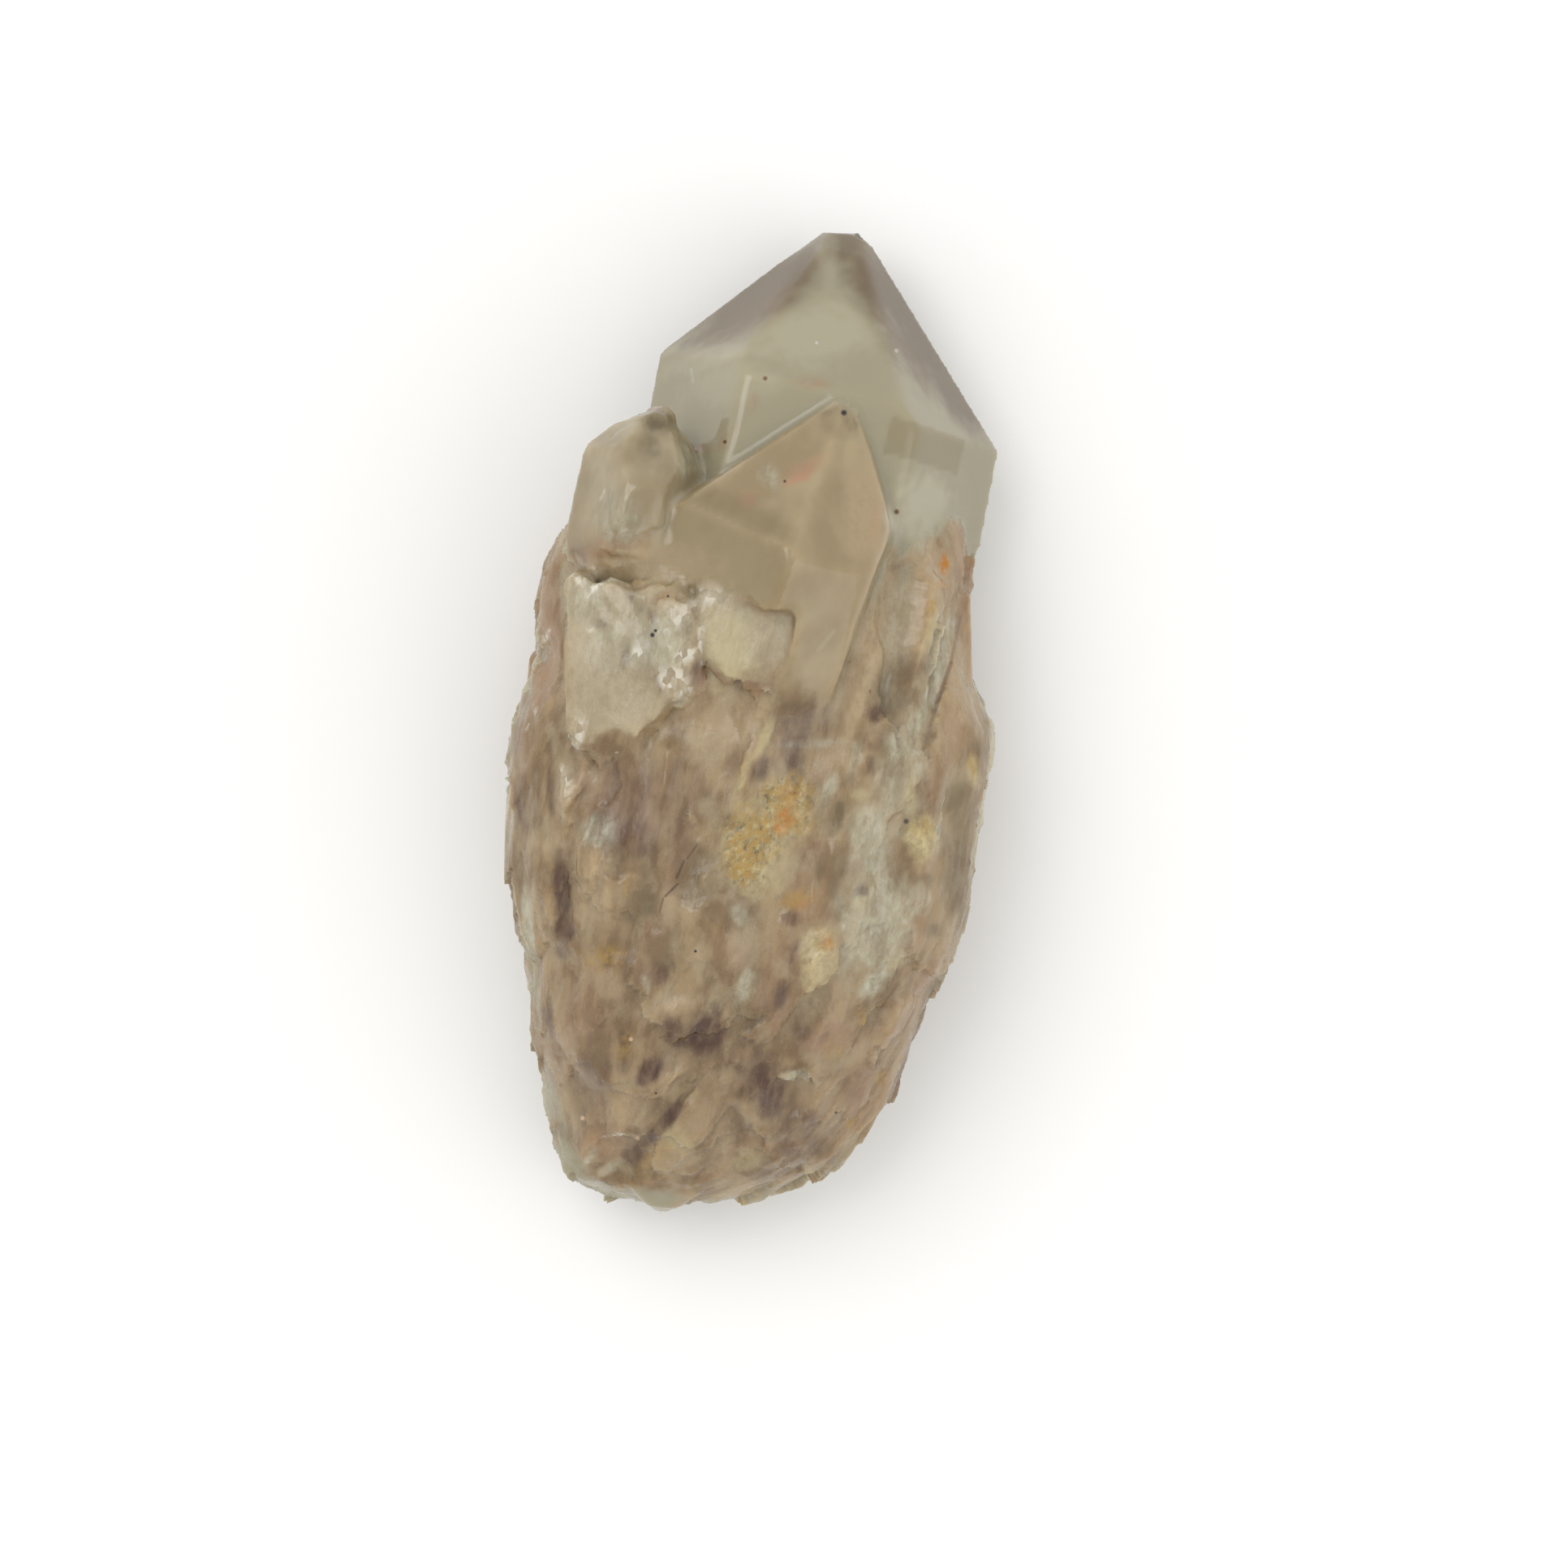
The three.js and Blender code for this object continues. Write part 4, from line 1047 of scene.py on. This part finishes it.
def random_in_cells(tree, scale):
    """A number from 0 to 1 for each cell, for shards that each get their own painted light: some lit like facets
    catching the light, some in painted shade.
    """
    cells = node(tree, "ShaderNodeTexVoronoi", feature="F1")
    cells.inputs["Scale"].default_value = 1.0
    tree.links.new(stretched(tree, scale), cells.inputs["Vector"])
    channels = node(tree, "ShaderNodeSeparateColor")
    tree.links.new(cells.outputs["Color"], channels.inputs["Color"])
    return channels.outputs["Red"]


def quartz_colour(tree):
    """The tints, each broken up by its own texture, laid over a tan ground."""
    cloudy = ramp(tree, noise_output(tree, (0.17, 0.12, 0.17), 3.0, 0.55), 0.32, 0.65)
    wispy = ramp(tree, noise_output(tree, (0.42, 0.28, 0.42), 4.0, 0.6), 0.44, 0.68)
    streaky = ramp(tree, noise_output(tree, (0.7, 0.2, 0.7), 4.0, 0.62), 0.34, 0.64)
    speckled = ramp(tree, noise_output(tree, (1.5, 1.1, 1.5), 4.0, 0.7), 0.3, 0.65)
    granular = ramp(tree, noise_output(tree, (1.5, 1.3, 1.5), 4.0, 0.7), 0.44, 0.58)
    glints = random_in_cells(tree, (1.7, 1.2, 1.7))
    long_tone = mask_output(tree, "long_tone")
    short_tone = mask_output(tree, "short_tone")
    long_tint = ramp(tree, mask_output(tree, "long_tint"), 0.5, 0.9)
    short_tint = ramp(tree, mask_output(tree, "short_tint"), 0.6, 0.9)

    def laid(colour, tint, name, least, texture):
        """The tint over the colour, where the named mask says, down to the least share of it in the texture."""
        share = maths(tree, "MULTIPLY", mask_output(tree, name), between(tree, least, 1.1, texture))
        return blended(tree, colour, tint, share)

    tone = between(tree, between(tree, long_tone, short_tone, 0.4), between(tree, cloudy, streaky, 0.4), 0.6)
    colour = blended(tree, TAN_DARK, TAN_LIGHT, ramp(tree, tone, 0.2, 0.8))
    colour = blended(tree, colour, ROSE_COLOUR, maths(tree, "MULTIPLY", long_tint, 0.25))
    colour = blended(tree, colour, GREY_COLOUR, maths(tree, "MULTIPLY", short_tint, 0.12))
    colour = blended(tree, colour, WISP_COLOUR, maths(tree, "MULTIPLY", wispy, 0.5))
    second = blended(tree, SECOND_POINT_DARK, SECOND_POINT_LIGHT, cloudy)
    colour = blended(tree, colour, second, mask_output(tree, "on_second"))
    third = blended(tree, THIRD_POINT_DARK, THIRD_POINT_LIGHT, cloudy)
    colour = blended(tree, colour, third, mask_output(tree, "on_third"))
    plate = blended(tree, PLATE_DARK, PLATE_LIGHT, between(tree, cloudy, speckled, 0.3))
    colour = blended(tree, colour, plate, mask_output(tree, "plates"))
    # Broken glassy shells: shard by shard painted light and shade, as if each small facet caught the light or not,
    # mixed with real speckles.
    lit_and_shaded_shards = blended(tree, SHELL_SHADE, PLATE_LIGHT, between(tree, glints, speckled, 0.6))
    colour = blended(tree, colour, lit_and_shaded_shards, maths(tree, "MULTIPLY", mask_output(tree, "shells"), 0.7))
    colour = laid(colour, OLIVE_COLOUR, "olive", 0.8, cloudy)
    colour = laid(colour, ROSE_COLOUR, "rose", 0.5, wispy)
    colour = laid(colour, LIGHT_TAN, "light", 0.6, speckled)
    colour = laid(colour, GREY_COLOUR, "grey", 0.5, streaky)
    colour = laid(colour, blended(tree, MILK_SHADE, MILK_LIGHT, streaky), "milk", 0.55, speckled)
    colour = laid(colour, CREAM_COLOUR, "cream", 0.7, speckled)
    colour = laid(colour, SMOKE_COLOUR, "smoke", 0.65, between(tree, 1.0, 0.0, streaky))
    colour = laid(colour, blended(tree, GREY_COLOUR, CREAM_COLOUR, speckled), "crumbs", 0.3, granular)
    colour = laid(colour, OCHRE_COLOUR, "ochre", 0.2, between(tree, 1.0, 0.0, granular))
    colour = laid(colour, PALE_RIM_COLOUR, "pale_rim", 0.8, cloudy)

    clear = blended(tree, CLEAR_COLOUR, RIM_COLOUR, mask_output(tree, "rim"))
    clear = blended(tree, clear, VEIL_COLOUR, mask_output(tree, "veil"))
    clear = blended(tree, clear, WINDOW_COLOUR, mask_output(tree, "window"))
    colour = blended(tree, colour, clear, mask_output(tree, "on_large"))
    colour = laid(colour, EDGE_COLOUR, "edges", 0.1, maths(tree, "MULTIPLY", cloudy, 0.6))
    colour = laid(colour, SALMON_COLOUR, "salmon", 0.2, wispy)
    colour = laid(colour, RUST_COLOUR, "rust", 0.25, granular)
    # White chips with painted glints: the cells that stand for facets catching the light are painted brightest.
    colour = laid(colour, CHIP_AND_GLINT_COLOUR, "chips_and_glints", 0.05, ramp(tree, glints, 0.3, 0.95))
    return with_fine_marks(tree, colour)


def facet_height(tree, scale):
    """Flat facets from about 0 to 1, each tilted its own way, as the ends of thin crystals are."""
    cells = node(tree, "ShaderNodeTexVoronoi", feature="F1")
    cells.inputs["Scale"].default_value = 1.0
    place = stretched(tree, scale)
    tree.links.new(place, cells.inputs["Vector"])
    from_middle = node(tree, "ShaderNodeVectorMath", operation="SUBTRACT")
    tree.links.new(place, from_middle.inputs[0])
    tree.links.new(cells.outputs["Position"], from_middle.inputs[1])
    tilt = node(tree, "ShaderNodeVectorMath", operation="SUBTRACT")
    tree.links.new(cells.outputs["Color"], tilt.inputs[0])
    tilt.inputs[1].default_value = (0.5, 0.5, 0.5)
    height = node(tree, "ShaderNodeVectorMath", operation="DOT_PRODUCT")
    tree.links.new(from_middle.outputs[0], height.inputs[0])
    tree.links.new(tilt.outputs[0], height.inputs[1])
    return maths(tree, "ADD", height.outputs["Value"], 0.5)


def bumped(tree, height, distance, below=None):
    bump = node(tree, "ShaderNodeBump")
    bump.inputs["Strength"].default_value = 1.0
    bump.inputs["Distance"].default_value = distance * MM
    tree.links.new(height, bump.inputs["Height"])
    if below is not None:
        tree.links.new(below, bump.inputs["Normal"])
    return bump.outputs["Normal"]


def quartz_bump(tree):
    """Fine relief: striped growth lines across crystal faces, and small facets and grit elsewhere."""
    face = mask_output(tree, "face")
    rough = maths(tree, "MULTIPLY", between(tree, 1.0, 0.0, face), between(tree, 1.0, 0.5, mask_output(tree, "front")))
    growth_lines = noise_output(tree, (0.08, 2.2, 0.08), 2.0, 0.55)
    grit = noise_output(tree, (2.0, 0.8, 2.0), 3.0, 0.65)
    normal = bumped(tree, maths(tree, "MULTIPLY", facet_height(tree, (0.9, 0.4, 0.9)), rough), 0.16)
    return bumped(tree, between(tree, grit, maths(tree, "MULTIPLY", growth_lines, 0.2), face), 0.06, normal)


def quartz_roughness(tree):
    """Satin on rough quartz, glossy on crystal faces and fresh breaks, with dull spots on all."""
    dull = ramp(tree, noise_output(tree, (0.7, 0.4, 0.7), 4.0, 0.65), 0.3, 0.7)
    shiny = maths(tree, "MAXIMUM", mask_output(tree, "face"), mask_output(tree, "shells"))
    return between(tree, between(tree, 0.20, 0.44, dull), between(tree, 0.05, 0.20, dull), shiny)


def quartz_material():
    material = bpy.data.materials.new("quartz")
    material.use_nodes = True
    tree = material.node_tree
    shader = tree.nodes["Principled BSDF"]
    shader.inputs["IOR"].default_value = QUARTZ_IOR
    shader.inputs["Subsurface Weight"].default_value = 0.6
    shader.inputs["Subsurface Radius"].default_value = (1.0, 0.78, 0.52)
    shader.inputs["Subsurface Scale"].default_value = 4.0 * MM
    tree.links.new(quartz_colour(tree), shader.inputs["Base Color"])
    tree.links.new(quartz_roughness(tree), shader.inputs["Roughness"])
    tree.links.new(quartz_bump(tree), shader.inputs["Normal"])
    tree.links.new(mask_output(tree, "clear"), shader.inputs["Transmission Weight"])
    absorption = node(tree, "ShaderNodeVolumeAbsorption")
    absorption.inputs["Color"].default_value = (*CLEAR_ABSORPTION, 1.0)
    absorption.inputs["Density"].default_value = ABSORPTION_DENSITY
    tree.links.new(absorption.outputs["Volume"], tree.nodes["Material Output"].inputs["Volume"])
    return material


def phantom_material():
    """Milky quartz in faint bands, each where the crystal's growth stopped for a while."""
    material = bpy.data.materials.new("milky_quartz")
    material.use_nodes = True
    tree = material.node_tree
    shader = tree.nodes["Principled BSDF"]
    shader.inputs["Roughness"].default_value = 0.6
    bands = ramp(tree, noise_output(tree, (0.06, 0.30, 0.06), 4.0, 0.6), 0.35, 0.62)
    tree.links.new(blended(tree, PHANTOM_DARK, PHANTOM_LIGHT, bands), shader.inputs["Base Color"])
    return material


def plain_material(name, colour, roughness):
    material = bpy.data.materials.new(name)
    material.use_nodes = True
    shader = material.node_tree.nodes["Principled BSDF"]
    shader.inputs["Base Color"].default_value = (*colour, 1.0)
    shader.inputs["Roughness"].default_value = roughness
    return material


def floor():
    bpy.ops.mesh.primitive_plane_add(size=4.0)
    plane = bpy.context.object
    plane.name = "floor"
    plane.data.materials.append(plain_material("floor_paint", (0.86, 0.86, 0.855), 0.9))
    return plane


def soft_light(name, place, size, power):
    lamp = bpy.data.lights.new(name, "AREA")
    lamp.shape = "SQUARE"
    lamp.size = size
    lamp.energy = power
    holder = bpy.data.objects.new(name, lamp)
    holder.location = place
    holder.rotation_euler = (Vector((0.0, 0.0, 0.0)) - Vector(place)).to_track_quat("-Z", "Y").to_euler()
    bpy.context.scene.collection.objects.link(holder)


def studio():
    scene = bpy.context.scene
    scene.view_settings.view_transform = "Standard"
    world = bpy.data.worlds.new("studio")
    world.use_nodes = True
    world.node_tree.nodes["Background"].inputs["Color"].default_value = (1.0, 0.99, 0.975, 1.0)
    world.node_tree.nodes["Background"].inputs["Strength"].default_value = 0.95
    scene.world = world
    soft_light("key", (-0.35, 0.35, 0.75), 0.6, 2.4)
    soft_light("fill", (0.55, -0.25, 0.55), 0.7, 1.0)


def camera():
    data = bpy.data.cameras.new("camera")
    data.lens = LENS
    data.sensor_width = SENSOR
    holder = bpy.data.objects.new("camera", data)
    distance = VIEW_WIDTH * LENS / SENSOR
    middle = Vector(VIEW_MIDDLE) + Vector(MARKS_ORIGIN)
    holder.location = (middle.x * MM, middle.y * MM, (VIEW_HEIGHT + distance) * MM)
    bpy.context.scene.collection.objects.link(holder)
    bpy.context.scene.camera = holder


studio()
camera()
floor()

stone = stone_skin(SolidFaces(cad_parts[STONE_NODE]))
stone.data.materials.append(quartz_material())
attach(stone, "root")
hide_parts(STONE_NODE)

phantom = milky_phantom()
phantom.data.materials.append(phantom_material())
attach(phantom, "root")
